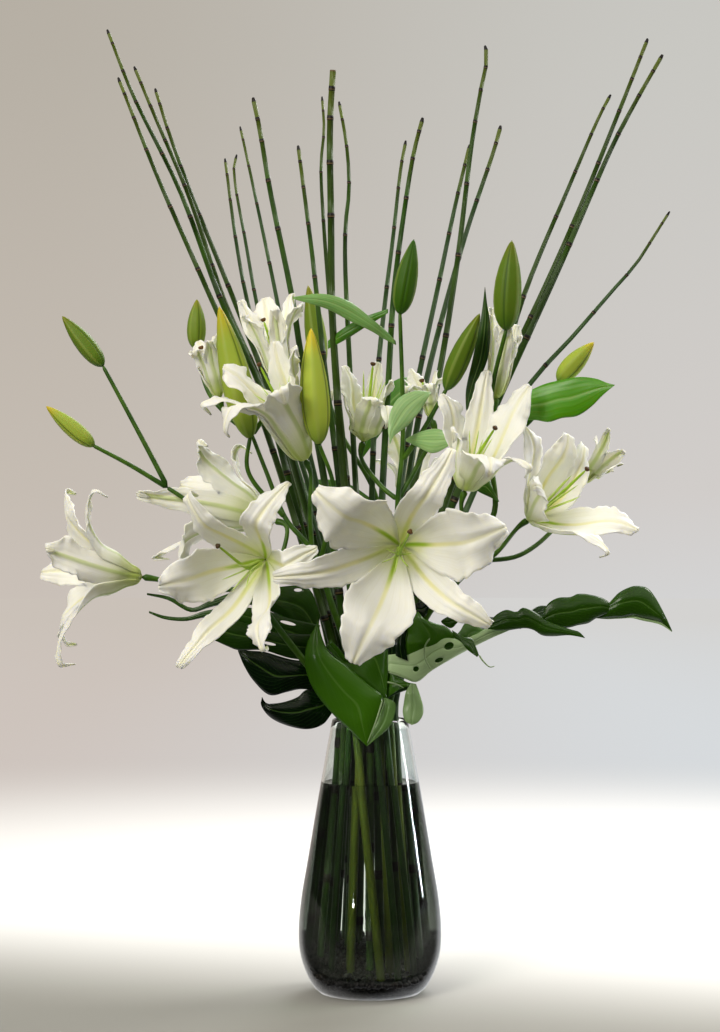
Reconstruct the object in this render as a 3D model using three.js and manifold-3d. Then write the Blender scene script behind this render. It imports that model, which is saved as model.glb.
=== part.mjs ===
// A clear glass vase of white lilies, horsetail reed and three monstera leaves, in water over dark grit.
// Millimetres, +Z up. The origin is the centre of the vase's base, and the front of the arrangement faces -Y.
import * as THREE from 'three';
import Module from 'manifold-3d';
import { mergeVertices } from 'three/addons/utils/BufferGeometryUtils.js';

const wasm = await Module();
wasm.setup();

// Vase: blown clear glass, narrow at the rim and widest low down.
const VASE_HEIGHT = 272;
const VASE_FLOOR = 6;
const VASE_SIDES = 24;
const VASE_OUTSIDE = [[50, 0], [55, 4], [62, 15], [69.6, 37], [71.4, 58], [69, 91], [62, 133],
  [48.6, 212]];
const VASE_RIM = [[38.2, 270], [36.9, VASE_HEIGHT], [35.6, 270]];
const VASE_INSIDE = [[46, 212], [59.2, 133], [66, 91], [68, 58], [66, 37], [58, 15], [48, VASE_FLOOR]];
const GAP = 0.3;
const FINEST_DETAIL = 0.1;
const GRIT_EDGE = 50;
const GRIT_CROWN = [[40, 51.5], [0, 52]];
const GRIT_SWELL = 1.4;
const WATER_BOTTOM = 54;
const WATER_TOP = 209;

// Stems pass the rim on a close-packed pattern, and spread from there to their feet in the grit.
const STEM_SPACING = 9.8;
const ROW_SPACING = STEM_SPACING * Math.sqrt(3) / 2;
const FOOT_SPREAD = 1.72;
const FOOT_LEVEL = 19;
const RIM_CLEARANCE = 22;
const STEM_SIDES = 5;

// Horsetail joints: run from the rim to the first, the step to the next, how it shortens, and the sheath.
const FIRST_JOINT = 95;
const JOINT_STEP = 118;
const STEP_SHORTENING = 0.93;
const LEAST_STEP = 94;
const JOINT_SWELL = 1.16;
const SHEATH = 3.5;
const REED_TIP = 6;
const ROW_FAN = 0.045;

// Places above the vase are given as they are seen from the front: how far across and up they show in the
// upright plane through the vase's axis, and how far they lie behind that plane.
const UP = new THREE.Vector3(0, 0, 1);
const EYE = new THREE.Vector3(-10, -2490, 475);

function seen([across, up, depth]) {
  const reach = 1 - depth / EYE.y;
  return new THREE.Vector3(EYE.x + (across - EYE.x) * reach, depth, EYE.z + (up - EYE.z) * reach);
}

// Horsetail reeds: where each passes the rim (half spacings across, rows back), its thickness at the foot and
// at the tip, and its line above the vase from low to high, across and up.
const REEDS = {
  1: { slot: [-6, 0], thick: [8.4, 3.2], line: [[-76, 490], [-104, 590], [-149, 691], [-190, 800],
    [-237, 896], [-263, 962]] },
  2: { slot: [-5, -1], thick: [7.8, 3.4], line: [[-84, 500], [-120, 604], [-164, 704], [-212, 813],
    [-252, 914]] },
  3: { slot: [-5, 1], thick: [8.0, 3.4], line: [[-76, 500], [-108, 604], [-146, 691], [-180, 792],
    [-214, 872], [-236, 925]] },
  4: { slot: [-4, 2], thick: [8.0, 3.4], line: [[-72, 510], [-102, 604], [-136, 691], [-176, 790],
    [-201, 858], [-215, 903]] },
  5: { slot: [-3, 3], thick: [7.2, 3.0], line: [[-60, 480], [-104, 620], [-123, 691], [-134, 750],
    [-145, 833]] },
  6: { slot: [-2, 2], thick: [7.0, 2.6], line: [[-54, 480], [-98, 620], [-114, 691], [-126, 758],
    [-133, 795], [-136, 824], [-133, 837]] },
  7: { slot: [-3, 1], thick: [7.2, 2.6], line: [[-50, 490], [-80, 620], [-93, 691], [-112, 782],
    [-126, 847], [-130, 865]] },
  8: { slot: [-4, 0], thick: [8.6, 4.4], line: [[-44, 500], [-68, 630], [-78, 694], [-100, 801],
    [-110, 860], [-117, 894]] },
  9: { slot: [-2, 0], thick: [8.0, 3.6], line: [[-30, 500], [-46, 630], [-58, 738], [-66, 800],
    [-72, 846]] },
  10: { slot: [0, -2], thick: [8.8, 6.0], line: [[-27, 521], [-33, 600], [-38, 683], [-39, 771],
    [-40, 864], [-37, 921]] },
  11: { slot: [-1, 1], thick: [7.4, 2.6], line: [[-22, 500], [-36, 640], [-42, 710], [-46, 762],
    [-49, 826], [-46, 862], [-48, 895]] },
  12: { slot: [0, 2], thick: [7.6, 3.2], line: [[-14, 500], [-20, 620], [-25, 737], [-24, 771],
    [-21, 800], [-23, 842], [-31, 890]] },
  13: { slot: [1, 1], thick: [7.6, 3.2], line: [[2, 500], [8, 620], [16, 697], [23, 753], [31, 824],
    [36, 851]] },
  14: { slot: [1, -1], thick: [8.4, 4.0], line: [[12, 490], [19, 620], [24, 700], [34, 778],
    [44, 839], [53, 874]] },
  15: { slot: [2, 0], thick: [8.2, 3.8], line: [[38, 480], [64, 590], [86, 720], [102, 849],
    [111, 902], [117, 934], [115, 946]] },
  16: { slot: [3, 1], thick: [8.0, 3.6], line: [[28, 480], [44, 590], [68, 704], [86, 789],
    [100, 847]] },
  17: { slot: [2, 2], thick: [8.0, 4.0], line: [[34, 480], [54, 600], [85, 720], [100, 770],
    [124, 841], [131, 866]] },
  18: { slot: [5, 1], thick: [8.2, 3.2], line: [[78, 480], [122, 590], [154, 696], [198, 802],
    [230, 876], [241, 897]] },
  19: { slot: [4, 0], thick: [8.4, 3.6], line: [[72, 480], [118, 590], [150, 651], [204, 769],
    [250, 882], [278, 953]] },
  20: { slot: [3, -1], thick: [8.6, 3.8], line: [[80, 480], [128, 590], [189, 723], [243, 846],
    [265, 888], [293, 937]] },
  21: { slot: [5, -1], thick: [8.0, 2.6], line: [[100, 490], [155, 600], [205, 657], [244, 702],
    [266, 727], [286, 758], [300, 780]] },
};

// Each lily: its base on the pedicel, the middle of its mouth, and its six tips in turn round the flower, the
// broad petals and the narrow sepals by turns, starting with a petal.
const LILIES = {
  1: { filaments: 6, base: [30, 446, -85], mouth: [27, 430, -150], tips: [
    [135, 464, -160], [82, 541, -150], [-54, 500, -165], [-96, 414, -160], [-17, 328, -150],
      [120, 366, -155]] },
  2: { filaments: 6, base: [-104, 432, -70], mouth: [-131, 416, -120], tips: [
    [-83, 507, -120], [-182, 496, -125], [-212, 405, -150], [-192, 323, -165], [-107, 340, -150],
      [-57, 441, -130]] },
  3: { base: [-228, 414, -40], mouth: [-285, 422, -55], tips: [
    [-302, 499, -15], [-275, 500, -95], [-324, 442, -110], [-310, 326, -75], [-303, 346, -20],
      [-329, 418, 10]] },
  4: { base: [-96, 470, -25], mouth: [-150, 490, -5], tips: [
    [-172, 550, -40], [-130, 545, 30], [-190, 505, 70], [-215, 433, 30], [-190, 430, -30],
      [-234, 497, -45]] },
  5: { filaments: 6, base: [-65, 531, -72], mouth: [-98, 604, -106], tips: [
    [-74, 644, -126], [-95, 650, -94], [-147, 623, -100], [-169, 586, -122], [-145, 561, -146],
      [-90, 600, -156]] },
  6: { base: [-85, 600, -52], mouth: [-100, 655, -58], tips: [
    [-67, 688, -64], [-79, 697, -35], [-106, 693, -25], [-130, 691, -44], [-126, 676, -72],
      [-95, 682, -76]] },
  7: { base: [-150, 592, -34], mouth: [-163, 632, -34], tips: [
    [-150, 660, -45], [-155, 655, -15], [-172, 650, -10], [-180, 640, -30], [-176, 640, -52],
      [-160, 650, -58]] },
  8: { filaments: 6, base: [-7, 549, -20], mouth: [0, 592, -30], tips: [
    [22, 611, -38], [9, 629, -6], [-27, 625, -18], [-38, 600, -38], [4, 591, -75], [18, 570, -70]] },
  9: { base: [62, 572, -28], mouth: [56, 602, -26], tips: [
    [74, 612, -40], [66, 620, -12], [40, 622, -8], [32, 612, -22], [36, 600, -46], [60, 604, -54]] },
  10: { filaments: 6, base: [95, 500, -80], mouth: [108, 545, -98], tips: [
    [160, 605, -88], [117, 621, -75], [72, 597, -78], [84, 560, -120], [120, 520, -165],
      [160, 523, -140]] },
  11: { filaments: 6, base: [158, 471, -45], mouth: [190, 494, -75], tips: [
    [197, 557, -60], [151, 566, -65], [165, 505, -120], [238, 438, -120], [268, 460, -90],
      [214, 545, -25]] },
  12: { base: [212, 508, 8], mouth: [232, 530, 14], tips: [
    [254, 540, -6], [252, 527, 24], [238, 520, 42], [226, 540, 40], [226, 555, 20], [239, 562, -4]] },
  13: { base: [126, 592, -48], mouth: [132, 640, -50], tips: [
    [150, 655, -62], [147, 666, -36], [134, 682, -28], [121, 684, -34], [122, 676, -60],
      [138, 664, -72]] },
  14: { base: [34, 486, 84], mouth: [44, 520, 104], tips: [
    [80, 540, 120], [60, 562, 105], [20, 560, 100], [5, 530, 120], [30, 505, 160], [70, 505, 150]] },
};
const PETAL_HALF_WIDTH = 27;
const SEPAL_HALF_WIDTH = 17;
const TEPAL_THICKNESS = 1.8;
const SIDE_ROOM = 0.94;
const HEART = 12;
const ROOT_RING = 4.2;
const FOOT_RING = 3.2;
const THROAT_RING = 15;
const WAVE = 2.2;
const TEPAL_STOPS = [0.2, 0.44, 0.66, 0.86, 1];
const FULL_REACH = 125;
const LEAST_SIZE = 0.42;
const KEEL = 0.8;
const BREADTH_BEND = 0.004;

// Lily stalks: each has its slot at the rim, its main line, and what it carries. A bud or leaf has its own
// line, and a leaf's list ends with its width.
const STALKS = {
  left: {
    slot: [-3, -3], foot: [10, -46], thick: 8,
    line: [[-40, 300, -34], [-66, 330, -46], [-108, 386, -58], [-140, 440, -52], [-160, 471, -46],
      [-187, 493, -42],
      [-202, 503, -42]],
    pedicels: [[[-202, 503, -42], [-232, 560, -40], [-267, 625, -40]], [[-202, 503, -42],
      [-240, 526, -46], [-276, 545, -50]],
      [[-120, 402, -57], [-170, 402, -40], [-214, 402, -38]], [[-112, 392, -58], [-106, 412, -62]],
      [[-112, 392, -58], [-94, 420, -40], [-84, 450, -28]]],
    buds: [[[-267, 625, -40], [-308, 675, -40], 19], [[-276, 545, -50], [-324, 585, -56], 17]],
    lilies: [[3, 2], [2, 3], [4, 4]],
    leaves: [],
  },
  upper_left: {
    slot: [-2, -2], thick: 7.6,
    line: [[-36, 380, -52], [-58, 440, -56], [-84, 472, -52], [-104, 520, -48], [-118, 556, -44]],
    pedicels: [[[-58, 440, -56], [-60, 480, -64], [-66, 512, -68]], [[-84, 472, -52],
      [-122, 520, -58], [-120, 553, -60]],
      [[-52, 420, -55], [-36, 500, -86], [-51, 547, -100]], [[-118, 556, -44], [-104, 574, -48],
        [-92, 588, -50]],
      [[-118, 556, -44], [-140, 572, -38]], [[-118, 556, -44], [-160, 596, -2], [-174, 642, 12]]],
    buds: [[[-120, 553, -60], [-151, 685, -66], 30], [[-51, 547, -100], [-59, 663, -108], 29],
      [[-174, 642, 12], [-173, 692, 12], 19]],
    lilies: [[5, 0], [6, 3], [7, 4]],
    leaves: [],
  },
  middle: {
    slot: [2, -2], thick: 7.6,
    line: [[24, 380, -32], [27, 440, -36], [28, 491, -42], [33, 551, -48], [30, 677, -60]],
    pedicels: [[[26, 410, -34], [29, 440, -64]], [[28, 491, -42], [10, 506, -34], [-6, 532, -22]],
      [[32, 530, -46], [50, 556, -56], [76, 601, -70]], [[28, 491, -42], [50, 530, -34],
        [60, 556, -30]]],
    buds: [[[30, 677, -60], [44, 752, -62], 23], [[76, 601, -70], [110, 678, -84], 21]],
    lilies: [[1, 0], [8, 1], [9, 3]],
    leaves: [[[31, 640, -56], [8, 662, -76], [-30, 688, -88], [-79, 691, -92], 13], [[33, 590, -52],
      [46, 610, -80], [61, 598, -98], 28],
      [[32, 540, -47], [52, 552, -70], [76, 549, -88], 20]],
  },
  right: {
    slot: [4, -2], thick: 7.8,
    line: [[36, 330, -20], [60, 380, -34], [86, 408, -46], [104, 430, -50], [116, 460, -52],
      [125, 482, -52], [120, 540, -50],
      [122, 600, -62], [136, 661, -84]],
    pedicels: [[[92, 416, -48], [124, 436, -54], [152, 462, -48]], [[104, 430, -50], [96, 460, -70],
      [94, 484, -78]],
      [[104, 430, -50], [150, 436, -30], [190, 470, 0], [206, 500, 6]], [[120, 540, -50],
        [160, 570, -48], [188, 610, -56]],
      [[120, 540, -50], [126, 574, -48]]],
    buds: [[[136, 661, -84], [142, 751, -88], 27], [[188, 610, -56], [224, 649, -66], 20]],
    lilies: [[11, 0], [10, 1], [12, 2], [13, 4]],
    leaves: [[[121, 556, -51], [150, 590, -66], [190, 606, -74], [242, 608, -78], 36],
      [[120, 552, -51], [101, 620, -58], [115, 706, -62], 17],
      [[124, 496, -52], [116, 506, -60], [104, 508, -66], 12]],
  },
  back: {
    slot: [1, 3], thick: 7.6,
    line: [[6, 380, 44], [14, 440, 62], [4, 500, 76], [-30, 560, 84], [-50, 620, 96]],
    pedicels: [[[14, 440, 62], [24, 460, 74], [31, 476, 80]]],
    buds: [[[-50, 620, 96], [-62, 706, 104], 22]],
    lilies: [[14, 0]],
    leaves: [[[-14, 536, 80], [20, 600, 120], [60, 610, 150], 24], [[10, 480, 72], [-40, 500, 110],
      [-90, 490, 130], 26]],
  },
};

// Monstera leaves: the leaf's stalk from the rim to the blade, then each lobe's line, its width and the way
// it faces.
const PETIOLE_THICKNESS = 6.4;
const LOBE_PROFILE = [[0, 0.6], [0.4, 1], [0.8, 0.7], [1, 0.08]];
const MONSTERA = {
  left: {
    slot: [-4, -2],
    petiole: [[-46, 300, -20]],
    lobes: [
      { line: [[-46, 300, -20], [-80, 343, -26], [-130, 370, -28], [-180, 386, -24],
        [-223, 397, -16]], width: 46, face: [0, -1, 0.3] },
      { line: [[-42, 296, -22], [-76, 279, -30], [-109, 293, -34]], width: 34, face: [0, -1, 0.2] },
      { line: [[-48, 312, -24], [-92, 322, -32], [-132, 340, -34]], width: 42, face: [0, -1, 0.2] },
      { line: [[-86, 345, -27], [-124, 352, -34], [-171, 357, -32]], width: 24, face: [0, -1, 0.2] },
      { line: [[-120, 366, -28], [-170, 372, -36], [-221, 379, -30]], width: 16, face: [0, -1, 0.2] },
      { line: [[-64, 330, -26], [-78, 368, -26], [-84, 402, -18]], width: 44, face: [0, -1, 0.2] },
      { line: [[-104, 360, -28], [-124, 392, -20], [-130, 420, -4]], width: 34, face: [0, -1, 0.2] },
    ],
    holes: [[-82, 362, -28, 3], [-106, 362, -28, 3], [-100, 345, -28, 3]],
  },
  front: {
    slot: [1, -3], foot: [26, -47],
    petiole: [[12, 294, -48.5]],
    lobes: [
      { line: [[12, 296, -47], [4, 268, -56], [-3, 246, -56]], width: 44, face: [0, -1, 0.1] },
      { line: [[10, 274, -54], [-34, 296, -62], [-60, 376, -52]], width: 62, face: [0, -1, 0.2] },
      { line: [[12, 290, -48], [-2, 322, -50], [-4, 354, -44]], width: 36, face: [0, -1, -0.2] },
      { line: [[8, 284, -50], [-16, 316, -54], [-26, 342, -52]], width: 34, face: [0, -1, -0.2] },
    ],
    holes: [],
  },
  right: {
    slot: [3, -3], foot: [40, -35],
    petiole: [[43, 306, -46]],
    lobes: [
      { line: [[44, 306, -46], [84, 336, -52], [144, 360, -52], [226, 370, -50],
        [304, 360, -52]], width: 22, face: [0, -1, 0.4] },
      { line: [[56, 314, -48], [62, 348, -50], [46, 380, -46]], width: 50, face: [0, -1, 0.2] },
      { line: [[66, 330, -50], [100, 350, -66], [122, 324, -76]], width: 14, face: [0, -1, 0.2] },
      { line: [[112, 350, -48], [162, 372, -64], [216, 352, -70]], width: 26, face: [0, -1, 0.4] },
      { line: [[170, 362, -52], [206, 382, -40], [242, 384, -28]], width: 30, face: [0, -1, 0.3] },
      { line: [[222, 370, -50], [262, 394, -46], [303, 362, -52]], width: 34, face: [0, -1, 0.3] },
      { line: [[42, 306, -46], [46, 290, -54], [45, 268, -58]], width: 18, face: [0, -1, 0.1] },
      { line: [[44, 306, -46], [28, 316, -40], [18, 298, -36]], width: 20, face: [0, -1, 0.1] },
      { line: [[92, 338, -50], [118, 342, 0], [130, 330, 44]], width: 34, face: [0, -0.2, 1] },
      { line: [[150, 360, -50], [176, 360, 0], [190, 344, 44]], width: 34, face: [0, -0.2, 1] },
      { line: [[208, 368, -50], [232, 366, -6], [246, 352, 34]], width: 30, face: [0, -0.2, 1] },
    ],
    holes: [[78, 342, -52, 4], [67, 331, -52, 3], [50, 324, -48, 3]],
  },
};

function material(color, roughness, metalness = 0) {
  return new THREE.MeshStandardMaterial({ color, roughness, metalness });
}

const MATERIALS = {
  glass: material('#dfe8e6', 0.04),
  water: material('#8f9a94', 0.05),
  grit: material('#1b1a19', 0.7),
  reed: material('#2f5a22', 0.45),
  petal: material('#f4f2e6', 0.5),
  stalk: material('#4f8a2c', 0.45),
  pistil: material('#a9c46a', 0.45),
  leaf: material('#1f4a1d', 0.3),
};

// A skin over rings of equally many points, run in order along the piece and closed at its end and start.
// In a flat ring the second half mirrors the first, so both faces of a blade are split into triangles alike.
function skin(rings, flat = false, closed = true) {
  const count = rings[0].length;
  const half = count / 2;
  const positions = rings.flatMap((ring) => ring.flatMap((p) => [p.x, p.y, p.z]));
  const faces = [];
  for (let i = 0; i + 1 < rings.length; i += 1) {
    for (let k = 0; k < count; k += 1) {
      const a = i * count + k;
      const b = i * count + (k + 1) % count;
      const c = b + count;
      const d = a + count;
      if (flat && k >= half) faces.push(a, b, d, b, c, d);
      else faces.push(a, b, c, a, c, d);
    }
  }
  const last = (rings.length - 1) * count;
  if (flat) {
    for (let k = 0; k + 1 < half; k += 1) {
      const m = count - 1 - k;
      if (closed) faces.push(k, m, m - 1, k, m - 1, k + 1);
      faces.push(last + k, last + k + 1, last + m - 1, last + k, last + m - 1, last + m);
    }
  } else {
    for (let k = 1; k + 1 < count; k += 1) {
      faces.push(0, k + 1, k);
      faces.push(last, last + k, last + k + 1);
    }
  }
  const geometry = new THREE.BufferGeometry();
  geometry.setAttribute('position', new THREE.Float32BufferAttribute(positions, 3));
  geometry.setIndex(faces);
  return geometry;
}

function solid(geometry) {
  const bare = geometry.clone();
  bare.deleteAttribute('normal');
  bare.deleteAttribute('uv');
  const merged = mergeVertices(bare, 1e-4);
  return new wasm.Manifold(new wasm.Mesh({
    numProp: 3,
    vertProperties: new Float32Array(merged.attributes.position.array),
    triVerts: new Uint32Array(merged.index.array),
  }));
}

function geometryOf(manifold) {
  const mesh = manifold.simplify(FINEST_DETAIL).getMesh();
  const geometry = new THREE.BufferGeometry();
  geometry.setAttribute('position', new THREE.BufferAttribute(mesh.vertProperties, mesh.numProp));
  geometry.setIndex(new THREE.BufferAttribute(mesh.triVerts, 1));
  return geometry;
}

function joined(geometries) {
  return geometries.map(solid).reduce((whole, next) => whole.add(next));
}

// Frames along a line of points, each turned as little as possible from the one before.
function frames(points, hint = new THREE.Vector3(0, 1, 0)) {
  const tangents = points.map((p, i) => {
    const before = points[Math.max(i - 1, 0)];
    const after = points[Math.min(i + 1, points.length - 1)];
    return after.clone().sub(before).normalize();
  });
  let side = hint.clone();
  return tangents.map((tangent) => {
    side = side.clone().addScaledVector(tangent, -side.dot(tangent)).normalize();
    return { tangent, side, across: tangent.clone().cross(side) };
  });
}

function tube(points, radii, sides, lobes = 0, hint = undefined) {
  const axes = frames(points, hint);
  return skin(points.map((p, i) => {
    const ring = [];
    for (let k = 0; k < sides; k += 1) {
      const turn = 2 * Math.PI * k / sides;
      const r = radii[i] * (1 + lobes * Math.cos(3 * turn));
      ring.push(p.clone()
        .addScaledVector(axes[i].side, r * Math.cos(turn))
        .addScaledVector(axes[i].across, r * Math.sin(turn)));
    }
    return ring;
  }));
}

function spaced(points, count) {
  return new THREE.CatmullRomCurve3(points, false, 'centripetal').getSpacedPoints(count);
}

// Where a stem stands in the vase, from its foot to a little over the rim.
function inVase([column, row], foot) {
  const x = column * STEM_SPACING / 2;
  const y = row * ROW_SPACING;
  const [footX, footY] = foot ?? [x * FOOT_SPREAD, y * FOOT_SPREAD];
  return [
    new THREE.Vector3(footX, footY, FOOT_LEVEL),
    new THREE.Vector3(x, y, VASE_HEIGHT),
    new THREE.Vector3(x * 1.02, y * 1.02, VASE_HEIGHT + RIM_CLEARANCE),
  ];
}

// The depth of a reed's row opens like a fan above the rim.
function rowDepth(row, up) {
  return row * (ROW_SPACING + (up - VASE_HEIGHT) * ROW_FAN);
}

function reedPath({ slot, line }) {
  const [foot, rim, above] = inVase(slot);
  const tops = line.map(([across, up]) => seen([across, up, rowDepth(slot[1], up)]));
  const upper = new THREE.CatmullRomCurve3([rim, above, ...tops], false, 'centripetal');
  return { foot, upper };
}

// A reed is a jointed stem: at each joint the sheath stands out a little, and the joints close up to the tip.
function reed(spec) {
  const { foot, upper } = reedPath(spec);
  const length = upper.getLength();
  const points = [foot, upper.getPoint(0)];
  const [thickFoot, thickTip] = spec.thick;
  const radii = [thickFoot / 2, thickFoot / 2];
  const place = (run, swell) => {
    const part = run / length;
    points.push(upper.getPointAt(Math.min(part, 1)));
    radii.push(swell * THREE.MathUtils.lerp(thickFoot, thickTip, part ** 1.3) / 2);
  };
  let run = FIRST_JOINT;
  let step = JOINT_STEP;
  while (run < length - 4 * REED_TIP) {
    place(run, JOINT_SWELL);
    place(run + SHEATH, 1);
    run += step;
    step = Math.max(step * STEP_SHORTENING, LEAST_STEP);
  }
  place(length - REED_TIP, 1);
  place(length, 0.6);
  return tube(points, radii, STEM_SIDES);
}

// A tepal's width along its length, as shares.
const WIDTH_PROFILE = [[0, 0.16], [0.16, 0.3], [0.34, 0.62], [0.52, 0.94], [0.66, 1], [0.82, 0.78],
  [0.94, 0.36], [1, 0.05]];

function widthAt(t) {
  const next = WIDTH_PROFILE.findIndex(([at]) => at >= t);
  if (next <= 0) return WIDTH_PROFILE[0][1];
  const [t0, w0] = WIDTH_PROFILE[next - 1];
  const [t1, w1] = WIDTH_PROFILE[next];
  return THREE.MathUtils.lerp(w0, w1, (t - t0) / (t1 - t0));
}

// The perianth: six tepals grown from one small cup. Each is a channelled blade that follows the tube, opens,
// turns to its own side and curls back to its tip. Its edges close round the flower's axis in the tube, and
// lie nearly flat with a soft wave where it opens. Sepals lie a little outside petals.
function perianth({ base, mouth, tips }) {
  const root = seen(base);
  const axis = seen(mouth).sub(root);
  const depth = axis.length();
  axis.normalize();
  const [{ side, across }] = frames([root, root.clone().add(axis)]);
  const reaches = tips.map((tip) => seen(tip).sub(root));
  const meanReach = reaches.reduce((sum, r) => sum + r.length(), 0) / tips.length;
  const size = THREE.MathUtils.clamp(meanReach / FULL_REACH, LEAST_SIZE, 1);
  const turnOf = (reach) => Math.atan2(reach.dot(across), reach.dot(side));
  const sixth = Math.PI / 3;
  const wrapped = (turn) => turn - 2 * Math.PI * Math.round(turn / (2 * Math.PI));
  const sense = Math.sign(tips.reduce((sum, tip, k) => (
    sum + wrapped(turnOf(reaches[(k + 1) % 6]) - turnOf(reaches[k]))), 0));
  const ordered = reaches.map((reach, k) => reaches[sense > 0 ? k : (6 - k) % 6]);
  const drift = ordered.map((reach, k) => wrapped(turnOf(reach) - turnOf(ordered[0]) - k * sixth));
  const start = turnOf(ordered[0]) + drift.reduce((a, b) => a + b) / 6;
  const toward = (turn) => side.clone()
    .multiplyScalar(Math.cos(turn))
    .addScaledVector(across, Math.sin(turn));
  const at = (along, away, turn) => root.clone()
    .addScaledVector(axis, along)
    .addScaledVector(toward(turn), away);
  const lens = TEPAL_THICKNESS / 2;
  const turnAt = (k, t) => {
    const straight = start + k * sixth;
    const stray = wrapped(turnOf(ordered[(k + 6) % 6]) - straight);
    return straight + stray * THREE.MathUtils.smoothstep(t, 0.1, 0.85);
  };
  const sections = ordered.map((reach, k) => {
    const broad = k % 2 === 0;
    const baseTurn = start + k * sixth;
    const tipAlong = reach.dot(axis);
    const tipAway = reach.clone().addScaledVector(axis, -tipAlong).length();
    const throat = Math.min(THROAT_RING * size + 3, tipAway * 0.5) + (broad ? 0 : 1.5);
    const crest = Math.max(depth * 1.18, (depth + tipAlong) / 2 + tipAway * 0.14) - (broad ? 0 : 4 * size);
    const profile = new THREE.CatmullRomCurve3([
      new THREE.Vector3(HEART, ROOT_RING, 0),
      new THREE.Vector3(depth * 0.5, ROOT_RING + throat * 0.3, 0),
      new THREE.Vector3(depth, throat, 0),
      new THREE.Vector3(crest, throat + (tipAway - throat) * 0.55, 0),
      new THREE.Vector3(tipAlong, tipAway, 0),
    ], false, 'centripetal');
    const half = (broad ? PETAL_HALF_WIDTH : SEPAL_HALF_WIDTH) * size;
    const rings = TEPAL_STOPS.map((t, i) => {
      const { x: along, y: away } = profile.getPointAt(t);
      const slope = profile.getTangentAt(t);
      const turn = turnAt(k, t);
      const room = Math.min(turnAt(k + 1, t) - turn, turn - turnAt(k - 1, t)) / 2;
      const centre = at(along, away, turn);
      const inward = toward(turn).multiplyScalar(-slope.x).addScaledVector(axis, slope.y);
      const width = Math.min(half * widthAt(t), away * room * SIDE_ROOM);
      const open = THREE.MathUtils.smoothstep(t, 0.3, 0.85);
      const bend = (1 - open) / away + BREADTH_BEND;
      const wave = (i % 2 ? 1 : -1) * WAVE * size * open * (t < 1 ? 1 : 0);
      const place = (u, lift) => {
        const rise = (1 - Math.cos(u * width * bend)) / bend + Math.abs(u) * wave;
        const keel = KEEL * open * (1 - Math.abs(u));
        return centre.clone()
          .addScaledVector(toward(turn + Math.PI / 2), Math.sin(u * width * bend) / bend)
          .addScaledVector(inward, rise + lift - keel);
      };
      return [place(1, 0), place(0, lens), place(-1, 0), place(0, -lens)];
    });
    const edge = (turn) => at(HEART, ROOT_RING, turn);
    return [[edge(baseTurn + sixth / 2), at(HEART, ROOT_RING - lens, baseTurn), edge(baseTurn - sixth / 2),
      at(HEART, ROOT_RING + lens, baseTurn)], ...rings];
  });
  const triangles = [];
  const floor = at(HEART, 0, 0);
  const foot = (turn) => at(0, FOOT_RING, turn);
  sections.forEach((rings, k) => {
    const blade = skin(rings, true, false).toNonIndexed().attributes.position;
    for (let i = 0; i < blade.count; i += 1) {
      triangles.push(new THREE.Vector3().fromBufferAttribute(blade, i));
    }
    const [left, front, right, back] = rings[0];
    const turn = start + k * sixth;
    const [low, middle, high] = [foot(turn - sixth / 2), foot(turn), foot(turn + sixth / 2)];
    triangles.push(floor, right, front, floor, front, left);
    triangles.push(low, back, right, low, middle, back, middle, left, back, middle, high, left);
    triangles.push(root, middle, low, root, high, middle);
  });
  const geometry = new THREE.BufferGeometry().setFromPoints(triangles);
  return mergeVertices(geometry, 1e-3);
}

// The pistil with its filaments stands in the throat. The anthers were taken off.
const STYLE_RADII = [2.2, 1.3, 1.5, 2.6];
const FILAMENT_RADII = [0.8, 0.5];

function pistil({ base, mouth, filaments = 3 }) {
  const root = seen(base);
  const axis = seen(mouth).sub(root);
  const depth = axis.length();
  axis.normalize();
  const [{ side, across }] = frames([root, root.clone().add(axis)]);
  const at = (along, turn, away) => root.clone().addScaledVector(axis, along)
    .addScaledVector(side, away * Math.cos(turn)).addScaledVector(across, away * Math.sin(turn));
  const foot = HEART + GAP;
  const reach = depth * 1.35 - foot;
  const style = [at(foot, 0, 0), at(foot + reach * 0.55, 0.6, 1.2), at(foot + reach * 0.96, 0.6, 3.6),
    at(foot + reach, 0.6, 4)];
  const parts = [tube(style, STYLE_RADII, 4)];
  for (let k = 0; k < filaments; k += 1) {
    const turn = 2 * Math.PI * (k + 0.5) / filaments;
    const filament = [at(foot + 0.4, turn, 1.2), at(foot + reach * 0.8, turn, 4.2 + depth * 0.07)];
    parts.push(tube(filament, FILAMENT_RADII, 3));
  }
  return joined(parts);
}

const BUD_PROFILE = [[0, 0.24], [0.14, 0.74], [0.4, 1], [0.75, 0.68], [1, 0.07]];
const BUD_LOBES = 0.06;

// A closed bud, its three seams shown as a slightly lobed section.
function bud([from, to, width]) {
  const start = seen(from);
  const end = seen(to);
  const points = BUD_PROFILE.map(([t]) => start.clone().lerp(end, t));
  return tube(points, BUD_PROFILE.map(([, share]) => share * width / 2), 6, BUD_LOBES);
}

const BLADE_THICKNESS = 1.4;
const LEAF_PROFILE = [[0, 0.16], [0.25, 0.76], [0.5, 1], [0.8, 0.6], [1, 0.05]];

function lilyLeaf(spec) {
  const width = spec[spec.length - 1];
  const curve = new THREE.CatmullRomCurve3(spec.slice(0, -1).map(seen), false, 'centripetal');
  const points = LEAF_PROFILE.map(([t]) => curve.getPointAt(t));
  const axes = frames(points, new THREE.Vector3(0, -0.5, 1));
  return skin(points.map((p, i) => {
    const half = LEAF_PROFILE[i][1] * width / 2;
    const place = (u, lift) => p.clone().addScaledVector(axes[i].across, u * half)
      .addScaledVector(axes[i].side, Math.abs(u) * half * 0.25 + lift);
    return [place(-1, 0), place(0, BLADE_THICKNESS / 2), place(1, 0), place(0, -BLADE_THICKNESS / 2)];
  }), true);
}

const PEDICEL_RADII = [2.4, 1.9];
const NECK = 10;

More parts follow.
